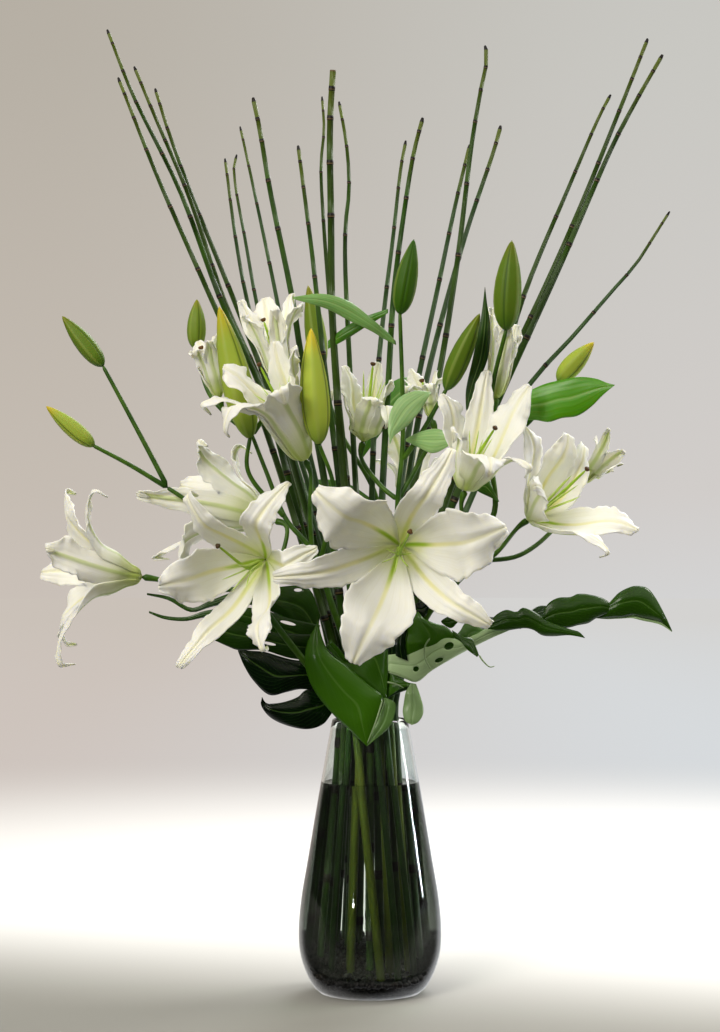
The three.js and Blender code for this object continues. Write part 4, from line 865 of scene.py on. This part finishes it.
def turned(name, profile, sides=VASE_SIDES):
    """A body turned on the vase's axis: a disc extruded up or down from ring to ring of its profile."""
    radius, height = profile[0]
    bpy.ops.object.select_all(action="DESELECT")
    bpy.ops.mesh.primitive_circle_add(vertices=sides, radius=radius * MM, fill_type="NGON",
                                      location=(0, 0, height * MM))
    piece = bpy.context.object
    piece.name = name
    activate(piece)
    bpy.ops.object.transform_apply(location=True, rotation=True, scale=True)
    bpy.ops.object.mode_set(mode="EDIT")
    bpy.ops.mesh.select_all(action="SELECT")
    for (last_radius, last_height), (radius, height) in zip(profile, profile[1:]):
        bpy.ops.mesh.extrude_region_move(TRANSFORM_OT_translate={"value": (0, 0, (height - last_height) * MM)})
        share = radius / last_radius
        bpy.ops.transform.resize(value=(share, share, 1), center_override=(0, 0, height * MM))
    bpy.ops.mesh.select_all(action="SELECT")
    bpy.ops.mesh.normals_make_consistent(inside=False)
    bpy.ops.object.mode_set(mode="OBJECT")
    return smooth(piece, 50)


def rounded(profile, steps=5):
    """The profile with its long runs curved as blown glass is."""
    line = Line([Vector((radius, height, 0)) for radius, height in profile])
    count = steps * (len(profile) - 1)
    return [tuple(line.at(i / count))[:2] for i in range(count + 1)]


def inside_radius(height, profile):
    for (r0, z0), (r1, z1) in zip(profile, profile[1:]):
        if min(z0, z1) <= height <= max(z0, z1):
            return lerp(r0, r1, (height - z0) / (z1 - z0))
    return profile[-1][0]


def make_vase(glass):
    outside = rounded(VASE_OUTSIDE)
    inside = rounded([VASE_RIM[-1], *VASE_INSIDE])
    vase = turned("glass_vase", [*outside, *VASE_RIM[:-1], *inside])
    return dress(vase, glass, "vase", slot="glass"), inside


def make_water(water, inside):
    """Water fills the vase to its wall, a hair into the glass so that no air shows between them."""
    wall = [(r + 0.15, z) for r, z in reversed(inside) if GRIT_TOP * 0.1 < z < WATER_TOP]
    top = inside_radius(WATER_TOP, inside)
    body = turned("still_water", [*wall, (top + 0.15, WATER_TOP + 0.6), (top - 2.5, WATER_TOP), (1, WATER_TOP)])
    return dress(body, water, "water", slot="water")


def grit_level(depth):
    """The grit lies high at the back and has slid down at the front, where the stems stand bare against the glass."""
    return lerp(GRIT_FRONT, GRIT_TOP, smoothstep(depth, -58, 12))


def make_grit(grit, inside):
    """A bed of broken stone: a dark core, with loose grains over it and against the glass."""
    rng = random.Random(SEED)
    core = turned("grit_core", [(r - 4, z + 2) for r, z in reversed(inside) if z < GRIT_TOP - 6], 48)
    bpy.ops.object.mode_set(mode="EDIT")
    bpy.ops.mesh.select_all(action="SELECT")
    slope = (GRIT_TOP - GRIT_FRONT) / 70
    bpy.ops.mesh.bisect(plane_co=(0, -0.03, (GRIT_FRONT + 4) * MM), plane_no=Vector((0, -slope, 1)).normalized(),
                        use_fill=True, clear_outer=True)
    bpy.ops.object.mode_set(mode="OBJECT")
    bpy.ops.object.select_all(action="DESELECT")
    bpy.ops.mesh.primitive_ico_sphere_add(subdivisions=2, radius=1)
    stone = bpy.context.object
    grains = []
    places = []
    for ring in range(10):
        height = VASE_FLOOR + 3 + ring * 4.6
        reach = inside_radius(height, inside) - 2.6
        count = int(2 * math.pi * reach / 5.2)
        places += [(reach, 2 * math.pi * (i + rng.random() * 0.6) / count, height) for i in range(count)]
    for ring in range(13):
        reach = 2 + ring * 4.9
        count = max(3, int(2 * math.pi * reach / 5.4))
        places += [(reach, 2 * math.pi * (i + rng.random() * 0.6) / count, GRIT_TOP - 2) for i in range(count)]
    for reach, turn, height in places:
        height = min(height, grit_level(reach * math.sin(turn)))
        grain = stone.copy()
        grain.data = stone.data.copy()
        bpy.context.collection.objects.link(grain)
        size = rng.uniform(2.2, 3.3)
        stretch = [size * rng.uniform(0.75, 1.2) for _ in range(3)]
        tilt = Matrix.Rotation(rng.uniform(0, math.pi), 3, Vector([rng.uniform(-1, 1) for _ in range(3)]).normalized())
        middle = Vector((reach * math.cos(turn), reach * math.sin(turn), height + rng.uniform(-1.4, 1.4)))
        chips = [Vector([rng.uniform(-1, 1) for _ in range(3)]).normalized() for _ in range(4)]
        for vertex in grain.data.vertices:
            point = vertex.co.copy()
            for chip in chips:
                over = point.dot(chip) - 0.72
                if over > 0:
                    point -= chip * over
            vertex.co = (middle + tilt @ Vector([point[i] * stretch[i] for i in range(3)])) * MM
        grains.append(grain)
    bpy.data.objects.remove(stone)
    bed = join("grit_bed", [*grains, core])
    return dress(bed, grit, "grit", slot="grit")


# Horsetail reeds

def joint_runs(length, rng):
    """Where a reed's joints come, from the tip down: close at the tip and wider apart towards the foot."""
    runs = []
    run = length - rng.uniform(14, 24)
    step = 26.0
    while run > 30:
        runs.append(run)
        run -= step * rng.uniform(0.85, 1.15)
        step = min(step * 1.45, 92)
    return sorted(runs)


def make_reed(number, stem, sheath, ring):
    (slot, (thick_foot, thick_tip), line) = REEDS[number]
    rng = random.Random(SEED + number)
    foot, rim, above = in_vase(slot)
    tops = [seen((across, up, slot[1] * (ROW_SPACING + (up - VASE_HEIGHT) * ROW_FAN))) for across, up in line]
    upper = Line([rim, above, *tops])
    below = (rim - foot).length
    length = below + upper.length

    def centre(run):
        return foot.lerp(rim, run / below) if run < below else upper.at((run - below) / upper.length)

    def radius(run):
        part = max(run - below, 0) / upper.length
        return lerp(thick_foot, thick_tip, part**1.3) / 2 * lerp(SUNK_GIRTH, 1, smoothstep(run, below - 60, below))

    cut = number == CUT_REED
    stations = [(0.0, 0.0, 0), (0.01, radius(0), 0)]
    last = 0.0
    for run in joint_runs(length, rng):
        sunk = run < below + 5
        grow = radius(run) / 4 * (1.7 if sunk else 1)
        for step in range(1, int((run - last) // 22) + 1):
            place = last + (run - last) * step / (int((run - last) // 22) + 1)
            stations.append((place, radius(place) * 0.985, 0))
        stations += [(run - 1.2 * grow, radius(run), 0), (run - 1.1 * grow, radius(run) * 1.03, 1),
                     (run, radius(run) * 1.07, 1 if sunk else 2), (run + 1.6 * grow, radius(run) * 1.1, 1),
                     (run + 5.0 * grow, radius(run) * 1.05, 1), (run + 5.1 * grow, radius(run), 0)]
        last = run + 6 * grow
    if cut:
        stations += [(length - 1.5, radius(length) * 1.02, 2), (length, radius(length), 2), (length + 0.01, 0.0, 2)]
    else:
        stations += [(length - 5, radius(length) * 1.1, 1), (length - 1, radius(length) * 0.7, 1), (length, 0.0, 1)]
    points = [centre(run) for run, _, _ in stations]
    sides = 14
    reed = tube(f"reed_{number:02d}", points, [r for _, r, _ in stations], sides)
    for material in (stem, sheath, ring):
        reed.data.materials.append(material)
    # The middle of a face along the grid tells which band it lies in.
    uv = reed.data.uv_layers[0].data
    for face in reed.data.polygons:
        share = sum(uv[i].uv.y for i in face.loop_indices) / len(face.loop_indices)
        face.material_index = stations[min(int(share * (len(stations) - 1)), len(stations) - 1)][2]
    lengths = [run / length for run, _, _ in stations]
    for loop in uv:
        loop.uv.y = lengths[round(loop.uv.y * (len(stations) - 1))]
    # Each reed's share of the painted haze of back light; the back reeds take the most.
    mark(reed, "backlit_haze", 0.75 if number in HAZED_REEDS else rng.uniform(0.0, 0.2))
    mark(reed, "olive", rng.uniform(0.0, 0.8))
    return dress(reed, None, f"horsetail_{number:02d}", slot="horsetail")


# Lily blooms

def make_bloom(number, petal, style_green, filament_green, stigma_brown):
    base, mouth, stigma, tips = LILIES[number]
    rng = random.Random(SEED * 100 + number)
    root = seen(base)
    axis = seen(mouth) - root
    depth = axis.length
    axis.normalize()
    (_, side, across), _ = frames([root, root + axis], (0, 1, 0))
    reaches = [seen(tip) - root for tip in tips]
    size = clamp(sum(r.length for r in reaches) / 6 / FULL_REACH, LEAST_SIZE, 1)
    cup = min(size, depth / 60)
    sixth = math.pi / 3
    flare = FLARED.get(number, 0)

    def turn_of(reach):
        return math.atan2(reach.dot(across), reach.dot(side))

    def wrapped(turn):
        return turn - 2 * math.pi * round(turn / (2 * math.pi))

    way = sum(wrapped(turn_of(reaches[(k + 1) % 6]) - turn_of(reaches[k])) for k in range(6))
    ordered = [reaches[k if way > 0 else (6 - k) % 6] for k in range(6)]
    drift = sum(wrapped(turn_of(r) - turn_of(ordered[0]) - k * sixth) for k, r in enumerate(ordered)) / 6
    start = turn_of(ordered[0]) + drift

    def toward(turn):
        return side * math.cos(turn) + across * math.sin(turn)

    def turn_at(k, t):
        straight = start + k * sixth
        return straight + wrapped(turn_of(ordered[k % 6]) - straight) * smoothstep(t, 0.1, 0.85)

    throats = [clamp(0.4 * (reach - axis * reach.dot(axis)).length + 6, 12, 34) * cup**0.5 for reach in ordered]
    tepals = []
    for k, reach in enumerate(ordered):
        broad = k % 2 == 0
        under = 0 if broad else 2.0
        tip_along = reach.dot(axis)
        tip_away = (reach - axis * tip_along).length
        breadth = BREADTH.get((number, k if way > 0 else (6 - k) % 6), 1)
        throat = throats[k]
        tube_throat = lerp(sum(throats) / 6, throat, flare)
        girth = 11 * cup * BELLY.get(number, 1)
        crest = max(depth * 1.12, (depth + tip_along) / 2 + tip_away * 0.12) - (0 if broad else 4 * size)
        curl = (11 if broad else 16) * size
        rise = Line([Vector((1, 0.8, 0)), Vector((5, girth * 0.68 + under * 0.5, 0)),
                     Vector((lerp(14, 11, flare), lerp(girth, 15, flare) + under, 0)),
                     Vector((depth * lerp(0.5, 0.38, flare),
                             lerp(lerp(girth, tube_throat, 0.45), throat * 0.82, flare) + under, 0)),
                     Vector((depth * lerp(0.82, 0.7, flare), lerp(tube_throat, throat, 0.35) * lerp(0.86, 1.35, flare) + under, 0)),
                     Vector((crest * lerp(1, 0.94, flare), throat + (tip_away - throat) * 0.5, 0)),
                     Vector((tip_along, tip_away, 0)),
                     Vector((tip_along - curl * rng.uniform(0.8, 1.1), tip_away - curl * rng.uniform(0.1, 0.35), 0))])
        half_width = (PETAL_HALF_WIDTH if broad else SEPAL_HALF_WIDTH) * size * breadth
        profile = PETAL_PROFILE if broad else SEPAL_PROFILE
        ruffle = (4.4 if broad else 2.6) * size
        phases = [rng.uniform(0, 2 * math.pi) for _ in range(8)]
        pitch = [rng.uniform(2.2, 3.4) for _ in range(2)]
        roll = rng.uniform(-0.25, 0.25)
        from_keel = []

        def place(u, t, k=k, rise=rise, half_width=half_width, profile=profile, ruffle=ruffle, phases=phases,
                  pitch=pitch, roll=roll, from_keel=from_keel):
            here = rise.at(t)
            slope = (rise.at(min(t + 0.02, 1)) - rise.at(max(t - 0.02, 0))).normalized()
            turn = turn_at(k, t)
            room = min(turn_at(k + 1, t) - turn, turn - turn_at(k - 1, t)) / 2
            middle = root + axis * here.x + toward(turn) * here.y
            inward = toward(turn) * -slope.x + axis * slope.y
            wide = toward(turn + math.pi / 2)
            opened = smoothstep(t, 0.3, 0.75)
            c = 2 * u - 1
            side_of = 0 if c < 0 else 1
            crimp = (math.sin(2 * math.pi * 13 * t + phases[2 + side_of])
                     + math.sin(2 * math.pi * 8.3 * t + phases[6 + side_of]))
            scallop = 1 + opened * (0.07 * math.sin(2 * math.pi * 4.3 * t + phases[4 + side_of]) + 0.035 * crimp)
            width = min(half_width * from_table(profile, t), here.y * (room * 1.15 + 0.12)) * scallop
            bend = (1 - opened) / max(here.y, 1) + 0.004
            edge = abs(c) ** 2.2
            wave = ruffle * math.sin(2 * math.pi * pitch[side_of] * t + phases[side_of]) * edge
            wave += 0.22 * ruffle * crimp * abs(c) ** 5
            wave *= min(width / (0.4 * half_width), 1)
            fall = -0.2 * width * c * c * smoothstep(t, 0.45, 0.9)
            free = lerp(0.3, 1, opened)
            groove = -2.2 * size * math.exp(-((c / 0.1) ** 2)) * (1 - t) ** 0.5 * free
            flank = 1.5 * size * math.exp(-(((abs(c) - 0.27) / 0.15) ** 2)) * math.sin(math.pi * t) * free
            flank += 0.8 * size * math.exp(-(((abs(c) - 0.64) / 0.1) ** 2)) * math.sin(4.5 * t + phases[4]) * opened
            from_keel.append(abs(c * width))
            out = math.sin(c * width * bend) / bend
            lift = (1 - math.cos(c * width * bend)) / bend + (wave + fall + flank) * opened + groove
            twisted = roll * opened
            return (middle + wide * (out * math.cos(twisted) - lift * math.sin(twisted))
                    + inward * (lift * math.cos(twisted) + out * math.sin(twisted)))

        tepal = grid(f"tepal_{number}_{k}", 20, 64, place)
        outer = len(tepal.data.vertices)
        apply_modifier(tepal, "SOLIDIFY", thickness=TEPAL_THICKNESS * MM, offset=0)
        # Solidify lists the points of the outer skin first, and then those of the inner one.
        mark(tepal, "outside", [1.0] * outer + [0.0] * outer)
        mark(tepal, "from_keel", from_keel * 2)
        mark(tepal, "lime", [1.0 if broad else 0.3] * outer * 2)
        tepals.append(smooth(tepal))
    bloom = join(f"bloom_{number:02d}", tepals)
    dress(bloom, petal, f"lily_{number:02d}", slot="petal")

    end = seen(stigma) if stigma else root + axis * depth * 1.3 + toward(0.6) * 4
    styled = Line([root + axis * (HEART - 4), root + axis * depth * 0.6, end])
    points = [styled.at(i / 15) for i in range(16)]
    style = tube("style", points, [0.0] + [lerp(2.2, 1.1, i / 13) for i in range(14)] + [0.0], 12)
    style.data.materials.append(style_green)
    lobed = [end + (points[-1] - points[-2]).normalized() * step for step in (-1.8, -1.7, -0.4, 0.9, 1.7, 1.8)]
    stigma_piece = tube("stigma", lobed, [0.0, 1.4, 2.3, 2.6, 2.0, 0.0], 24,
                        lambda turn, i: 1 + 0.16 * math.cos(3 * turn))
    stigma_piece.data.materials.append(stigma_brown)
    parts = [style, stigma_piece]
    for k in range(6):
        turn = start + (k + 0.12) * sixth
        spread = 5 + depth * 0.16 + rng.uniform(-1, 2)
        filament = Line([root + axis * (HEART - 3) + toward(turn) * 1.5, root + axis * depth * 0.7 + toward(turn) * 5,
                         root + axis * depth * FILAMENT_REACH.get(number, 1.0) * rng.uniform(0.94, 1.08)
                         + toward(turn) * spread])
        stations = [filament.at(i / 10) for i in range(11)]
        thread = tube("filament", stations, [0.0] + [lerp(1.2, 0.55, i / 8) for i in range(9)] + [0.0], 8)
        thread.data.materials.append(filament_green)
        parts.append(thread)
    heart = join(f"heart_{number:02d}", parts)
    dress(heart, None, f"pistil_{number:02d}", slot="pistil")


# Lily stalks with their buds and leaves

BUD_PROFILE = [(0, 0), (0.002, 0.2), (0.03, 0.42), (0.09, 0.68), (0.18, 0.88), (0.3, 0.985), (0.4, 1), (0.55, 0.93), (0.7, 0.75),
               (0.83, 0.5), (0.93, 0.27), (0.985, 0.1), (1, 0)]


def make_bud(place, material):
    start, end, width, ripeness = place
    low, high = seen(start), seen(end)
    lean = (high - low).cross(UP).normalized() * width * 0.05
    rows = 26
    shares = [0.0, 0.002] + [i / rows for i in range(1, rows + 1)]
    points = [low.lerp(high, share) + lean * math.sin(math.pi * share) for share in shares]
    radii = [from_table(BUD_PROFILE, share) * width / 2 for share in shares]
    turned_by = 0.3 + (start[0] % 7) * 0.35

    def section(turn, i):
        seam = math.cos(3 * (turn + turned_by))
        return 1 + 0.035 * math.cos(6 * (turn + turned_by)) - 0.13 * max(seam, 0) ** 10

    bud = tube("bud", points, radii, 48, section)
    uv = bud.data.uv_layers[0].data
    for loop in uv:
        loop.uv.x += turned_by / (2 * math.pi)
    bud.data.materials.append(material)
    return mark(bud, "ripeness", ripeness)


def make_blade(edges, depths, swell, thickness, furrow, ripple, rows=36, across=14):
    """A thin leaf blade stretched between two edges from its root to its tip, swelling towards the eye between them,
    with a furrow along its middle and a ripple at its edges."""
    low, high = (Line([seen((x, up, lerp(*depths, i / (len(edge) - 1)))) for i, (x, up) in enumerate(edge)])
                 for edge in edges)

    def place(u, t):
        first, second = low.at(t), high.at(t)
        middle = first.lerp(second, 0.5)
        toward = (EYE - middle).normalized()
        half = (second - first).length / 2
        c = 2 * u - 1
        rise = swell * (1 - c * c) * min(1, half / 6) * min(1, 4 * t, 5 * (1 - t))
        dip = furrow * math.exp(-((c / 0.12) ** 2)) * min(1, half / 6)
        wave = ripple * math.sin(14 * t + 2 * c) * c * c * math.sin(math.pi * t)
        return first.lerp(second, u) + toward * (rise - dip + wave)

    blade = grid("blade", across, rows, place)
    apply_modifier(blade, "SOLIDIFY", thickness=thickness * MM, offset=0)
    return smooth(blade)


def make_stalk(name, stem, bud, leaf):
    plan = STALKS[name]
    foot, rim, above = in_vase(plan["slot"], plan["foot"])
    upper = Line([rim, above, *(seen(place) for place in plan["line"])])
    count = 60
    points = [foot - UP * 0.01, foot, *(upper.at(i / count) for i in range(count + 1))]
    radii = [0.0] + [plan["thick"] / 2 * lerp(1, 0.5, max(i - 1, 0) / (count + 1)) for i in range(count + 2)]
    radii[-1] *= 0.9
    radii.append(0.0)
    points.append(points[-1] + (points[-1] - points[-2]).normalized() * 0.6)
    greens = [tube("main", points, radii, 14)]
    for i, route in enumerate(plan["pedicels"]):
        places = [seen(place) for place in route]
        swell = 1.0
        places[-1] += (places[-1] - places[-2]).normalized() * 3
        if i in plan["flowers"]:
            base, mouth, _, _ = LILIES[plan["flowers"][i]]
            axis = (seen(mouth) - seen(base)).normalized()
            places[-1:] = [seen(base) - axis * 14, seen(base) + axis * 1.5]
            swell = 1.75
        run = Line(places)
        stations = [run.at(j / 22) for j in range(23)]
        thick = [0.0] + [lerp(2.6, 1.95, j / 20) * (1 + (swell - 1) * smoothstep(j / 20, 0.8, 1)) for j in range(21)]
        greens.append(tube("pedicel", stations, thick + [0.0], 12))
    stalk = join(f"stem_{name}", greens)
    dress(stalk, stem, f"stalk_{name}", slot="lily_green")
    buds = join(f"buds_{name}", [make_bud(place, bud) for place in plan["buds"]])
    dress(buds, None, f"stalk_{name}", slot="lily_green")
    if not plan["leaves"]:
        return
    leaves = []
    for first, second, depths, tone in plan["leaves"]:
        leaves.append(mark(make_blade((first, second), depths, 2.5, 0.7, 0.7, 1.2), "tone", tone))
    dress(join(f"leaves_{name}", leaves), leaf, f"stalk_{name}", slot="lily_green")


# Monstera leaves

def make_cutter(slit, deep):
    """A round bar along the line of sight, which cuts a slit or a hole in a leaf as far as a depth."""
    across, up, half_length, half_width, tilt = slit
    bpy.ops.object.select_all(action="DESELECT")
    bpy.ops.mesh.primitive_cylinder_add(vertices=20, radius=1, depth=2)
    cutter = bpy.context.object
    turn = Matrix.Rotation(math.radians(tilt), 3, "Z")
    for vertex in cutter.data.vertices:
        x, y, z = vertex.co
        flat = turn @ Vector((x * half_length, y * half_width, 0))
        vertex.co = seen((across + flat.x, up + flat.y, lerp(-80, deep, (z + 1) / 2))) * MM
    activate(cutter)
    bpy.ops.object.mode_set(mode="EDIT")
    bpy.ops.mesh.select_all(action="SELECT")
    bpy.ops.mesh.normals_make_consistent(inside=False)
    bpy.ops.object.mode_set(mode="OBJECT")
    return cutter


def make_monstera(name, stem, leaf, rib):
    plan = MONSTERA[name]
    foot, rim, above = in_vase(plan["slot"], plan["foot"])
    upper = Line([rim, above, *(seen(place) for place in plan["petiole"])])
    points = [foot - UP * 0.01, foot, *(upper.at(i / 16) for i in range(17))]
    radii = [0.0] + [PETIOLE_THICKNESS / 2 * lerp(1, 0.7, i / 17) for i in range(17)] + [0.0]
    petiole = tube(f"petiole_{name}", points, radii, 12)
    dress(petiole, stem, f"monstera_{name}", slot="monstera")
    cutters = [make_cutter(slit, plan["slit_depth"]) for slit in plan["slits"]]
    blades = []
    for first, second, depths, swell, tone in plan["lobes"]:
        lobe = make_blade((first, second), depths, swell, 0.9, 0.8, 0.8)
        for cutter in cutters:
            apply_modifier(lobe, "BOOLEAN", object=cutter, operation="DIFFERENCE", solver="EXACT")
        blades.append(mark(lobe, "tone", tone))
    for cutter in cutters:
        bpy.data.objects.remove(cutter)
    blade = join(f"blade_{name}", blades)
    dress(blade, leaf, f"monstera_{name}", slot="monstera")
    if plan["ribs"]:
        ribs = []
        for route in plan["ribs"]:
            run = Line([seen(place) for place in route])
            stations = [run.at(i / 16) for i in range(17)]
            ribs.append(tube("rib", stations, [0.0] + [lerp(0.9, 0.5, i / 14) for i in range(15)] + [0.0], 8))
        dress(join(f"ribs_{name}", ribs), rib, f"monstera_{name}", slot="monstera")


# The stage

FLOOR_RADIUS = 12
# Tones of the far paper's painted glow, nearer and farther, each warm at the left and cool at the right.
HORIZON_GLOW_TONES = [("#cec4bd", "#d7dbde"), ("#cac1b8", "#d4d3d1")]
# The wall from low to high, warm at the left and cool at the right: how steeply the eye looks up at it, and its tone.
WALL_TONES = [
    [(-0.2, "#efedea"), (-0.112, "#dfdbd7"), (-0.085, "#cec4bd"), (0.01, "#c5bcb2"), (0.18, "#b7b0a5"),
     (0.3, "#b2aba0")],
    [(-0.2, "#f6f8fa"), (-0.112, "#eaedf2"), (-0.085, "#d7dbde"), (0.01, "#d1cdca"), (0.18, "#c9c8c3"),
     (0.3, "#c4c3be")],
]
FRONT_TONES = [(0.0, "#2e2c2a"), (0.3, "#4a4744"), (0.55, "#e8e2d8"), (1.0, "#fffaf2")]


def make_stage():
    bpy.ops.object.select_all(action="DESELECT")
    bpy.ops.mesh.primitive_circle_add(vertices=128, radius=FLOOR_RADIUS, fill_type="TRIFAN", location=(0, 0, 0))
    floor = bpy.context.object
    floor.name = "paper_floor"
    floor.data.materials.append(paper_material())
    floor.visible_glossy = False
    world = bpy.data.worlds.new("studio")
    world.use_nodes = True
    bpy.context.scene.world = world
    way = node(world, "ShaderNodeSeparateXYZ", {0: node(world, "ShaderNodeTexCoord").outputs["Generated"]})
    walls = []
    for tones in WALL_TONES:
        ramp = node(world, "ShaderNodeValToRGB", {
            0: node(world, "ShaderNodeMapRange", {"Value": way.outputs["Z"], "From Min": -0.2, "From Max": 0.3}).outputs[0]})
        stops = ramp.color_ramp.elements
        for place, tone in tones[1:-1]:
            stops.new((place + 0.2) / 0.5)
        for stop, (place, tone) in zip(stops, tones):
            stop.position = (place + 0.2) / 0.5
            stop.color = linear(tone)
        walls.append(ramp.outputs[0])
    cool = node(world, "ShaderNodeMapRange", {"Value": way.outputs["X"], "From Min": -0.15, "From Max": 0.15},
                interpolation_type="SMOOTHSTEP").outputs[0]
    wall = node(world, "ShaderNodeMix", {0: cool, 6: walls[0], 7: walls[1]}, data_type="RGBA").outputs[2]
    front = node(world, "ShaderNodeValToRGB", {0: way.outputs["Z"]})
    stops = front.color_ramp.elements
    for place, tone in FRONT_TONES[1:-1]:
        stops.new(place)
    for stop, (place, tone) in zip(stops, FRONT_TONES):
        stop.position = place
        stop.color = linear(tone)
    # The eye sees pale wall all round, while the object is lit as in a room that is dark in front and at its sides.
    sideways = node(world, "ShaderNodeMath", {0: way.outputs["X"]}, operation="ABSOLUTE").outputs[0]
    unseen = node(world, "ShaderNodeMath", {0: 1.0, 1: node(world, "ShaderNodeLightPath").outputs["Is Camera Ray"]},
                  operation="SUBTRACT").outputs[0]
    before = node(world, "ShaderNodeMapRange", {"Value": way.outputs["Y"], "From Min": 0.25, "From Max": -0.3},
                  interpolation_type="SMOOTHSTEP").outputs[0]
    beside = node(world, "ShaderNodeMapRange", {"Value": sideways, "From Min": 0.5, "From Max": 0.8},
                  interpolation_type="SMOOTHSTEP").outputs[0]
    around = node(world, "ShaderNodeMath", {0: before, 1: beside}, operation="MAXIMUM").outputs[0]
    room = node(world, "ShaderNodeMix", {
        0: node(world, "ShaderNodeMath", {0: unseen, 1: around}, operation="MULTIPLY").outputs[0],
        6: wall, 7: front.outputs[0]}, data_type="RGBA").outputs[2]
    link(world, room, world.node_tree.nodes["Background"].inputs["Color"])


def make_lamp(name, place, target, size, power, colour):
    lamp = bpy.data.lights.new(name, "AREA")
    lamp.shape = "ELLIPSE"
    lamp.size, lamp.size_y = size
    lamp.energy = power
    lamp.color = linear(colour)[:3]
    holder = bpy.data.objects.new(name, lamp)
    holder.location = place
    holder.rotation_euler = (Vector(target) - Vector(place)).to_track_quat("-Z", "Y").to_euler()
    bpy.context.collection.objects.link(holder)


def make_camera():
    """Level with the photograph's eye line, its focal length worked out from the picture's height of 1032 pixels."""
    camera = bpy.data.cameras.new("camera")
    camera.sensor_fit = "VERTICAL"
    camera.sensor_height = 36
    camera.lens = 36 * 2490 / 1032
    holder = bpy.data.objects.new("camera", camera)
    holder.location = EYE * MM
    holder.rotation_euler = (math.pi / 2, 0, 0)
    bpy.context.collection.objects.link(holder)
    bpy.context.scene.camera = holder


def main():
    make_camera()
    make_stage()
    make_lamp("key", (1.5, 0.8, 1.9), (0, 0, 0.4), (1.0, 1.0), 24, "#fffdf8")
    make_lamp("window", (0.5, 1.5, 1.7), (0.1, 0.3, 0), (1.1, 1.1), 22, "#fdfeff")
    make_lamp("front fill", (-1.5, -2.4, 2.1), (0, 0, 0.5), (1.6, 1.6), 65, "#fffaee")
    make_lamp("right glint", (2.0, 0.35, 0.42), (0.04, -0.04, 0.18), (0.03, 0.5), 10, "#ffffff")
    make_lamp("left glint", (-1.03, -1.94, 0.37), (-0.01, -0.06, 0.12), (0.02, 0.16), 3, "#ffffff")
    bpy.context.scene.view_settings.view_transform = "Standard"

    glass = clear_material("clear blown glass", "#f4f9f7", 1.45, 0.15)
    # The water's edge colour is painted shade at its sides.
    water = clear_material("still water", "#e6eae2", 1.333, 0.03, edge="#262a25")
    _, inside = make_vase(glass)
    make_water(water, inside)
    make_grit(grit_material(), inside)

    reed_stem = horsetail_material()
    sheath = stem_material("horsetail sheath", "#0c0a07", "#1c150e", 0.5)
    ring = stem_material("horsetail ring", "#4e4028", "#6e5c3e", 0.5)
    for number in REEDS:
        make_reed(number, reed_stem, sheath, ring)

    petal = petal_material()
    style = stem_material("lily style", "#86ad1e", "#a8cc3a", 0.4)
    filament = stem_material("lily filament", "#b4d050", "#d4e694", 0.45)
    stigma = stem_material("lily stigma", "#3a2a0e", "#64431f", 0.5)
    for number in LILIES:
        make_bloom(number, petal, style, filament, stigma)

    green = stem_material("lily stem", "#264a08", "#476c14", 0.42, "#4f5a1a")
    bud = bud_material()
    leaf = lily_leaf_material()
    for name in STALKS:
        make_stalk(name, green, bud, leaf)

    monstera_leaf = monstera_material()
    petiole = stem_material("monstera stalk", "#1e400c", "#325a14", 0.4, "#1a2c0c")
    rib = stem_material("monstera rib", "#86a070", "#9db486", 0.45)
    for name in MONSTERA:
        make_monstera(name, petiole, monstera_leaf, rib)


main()
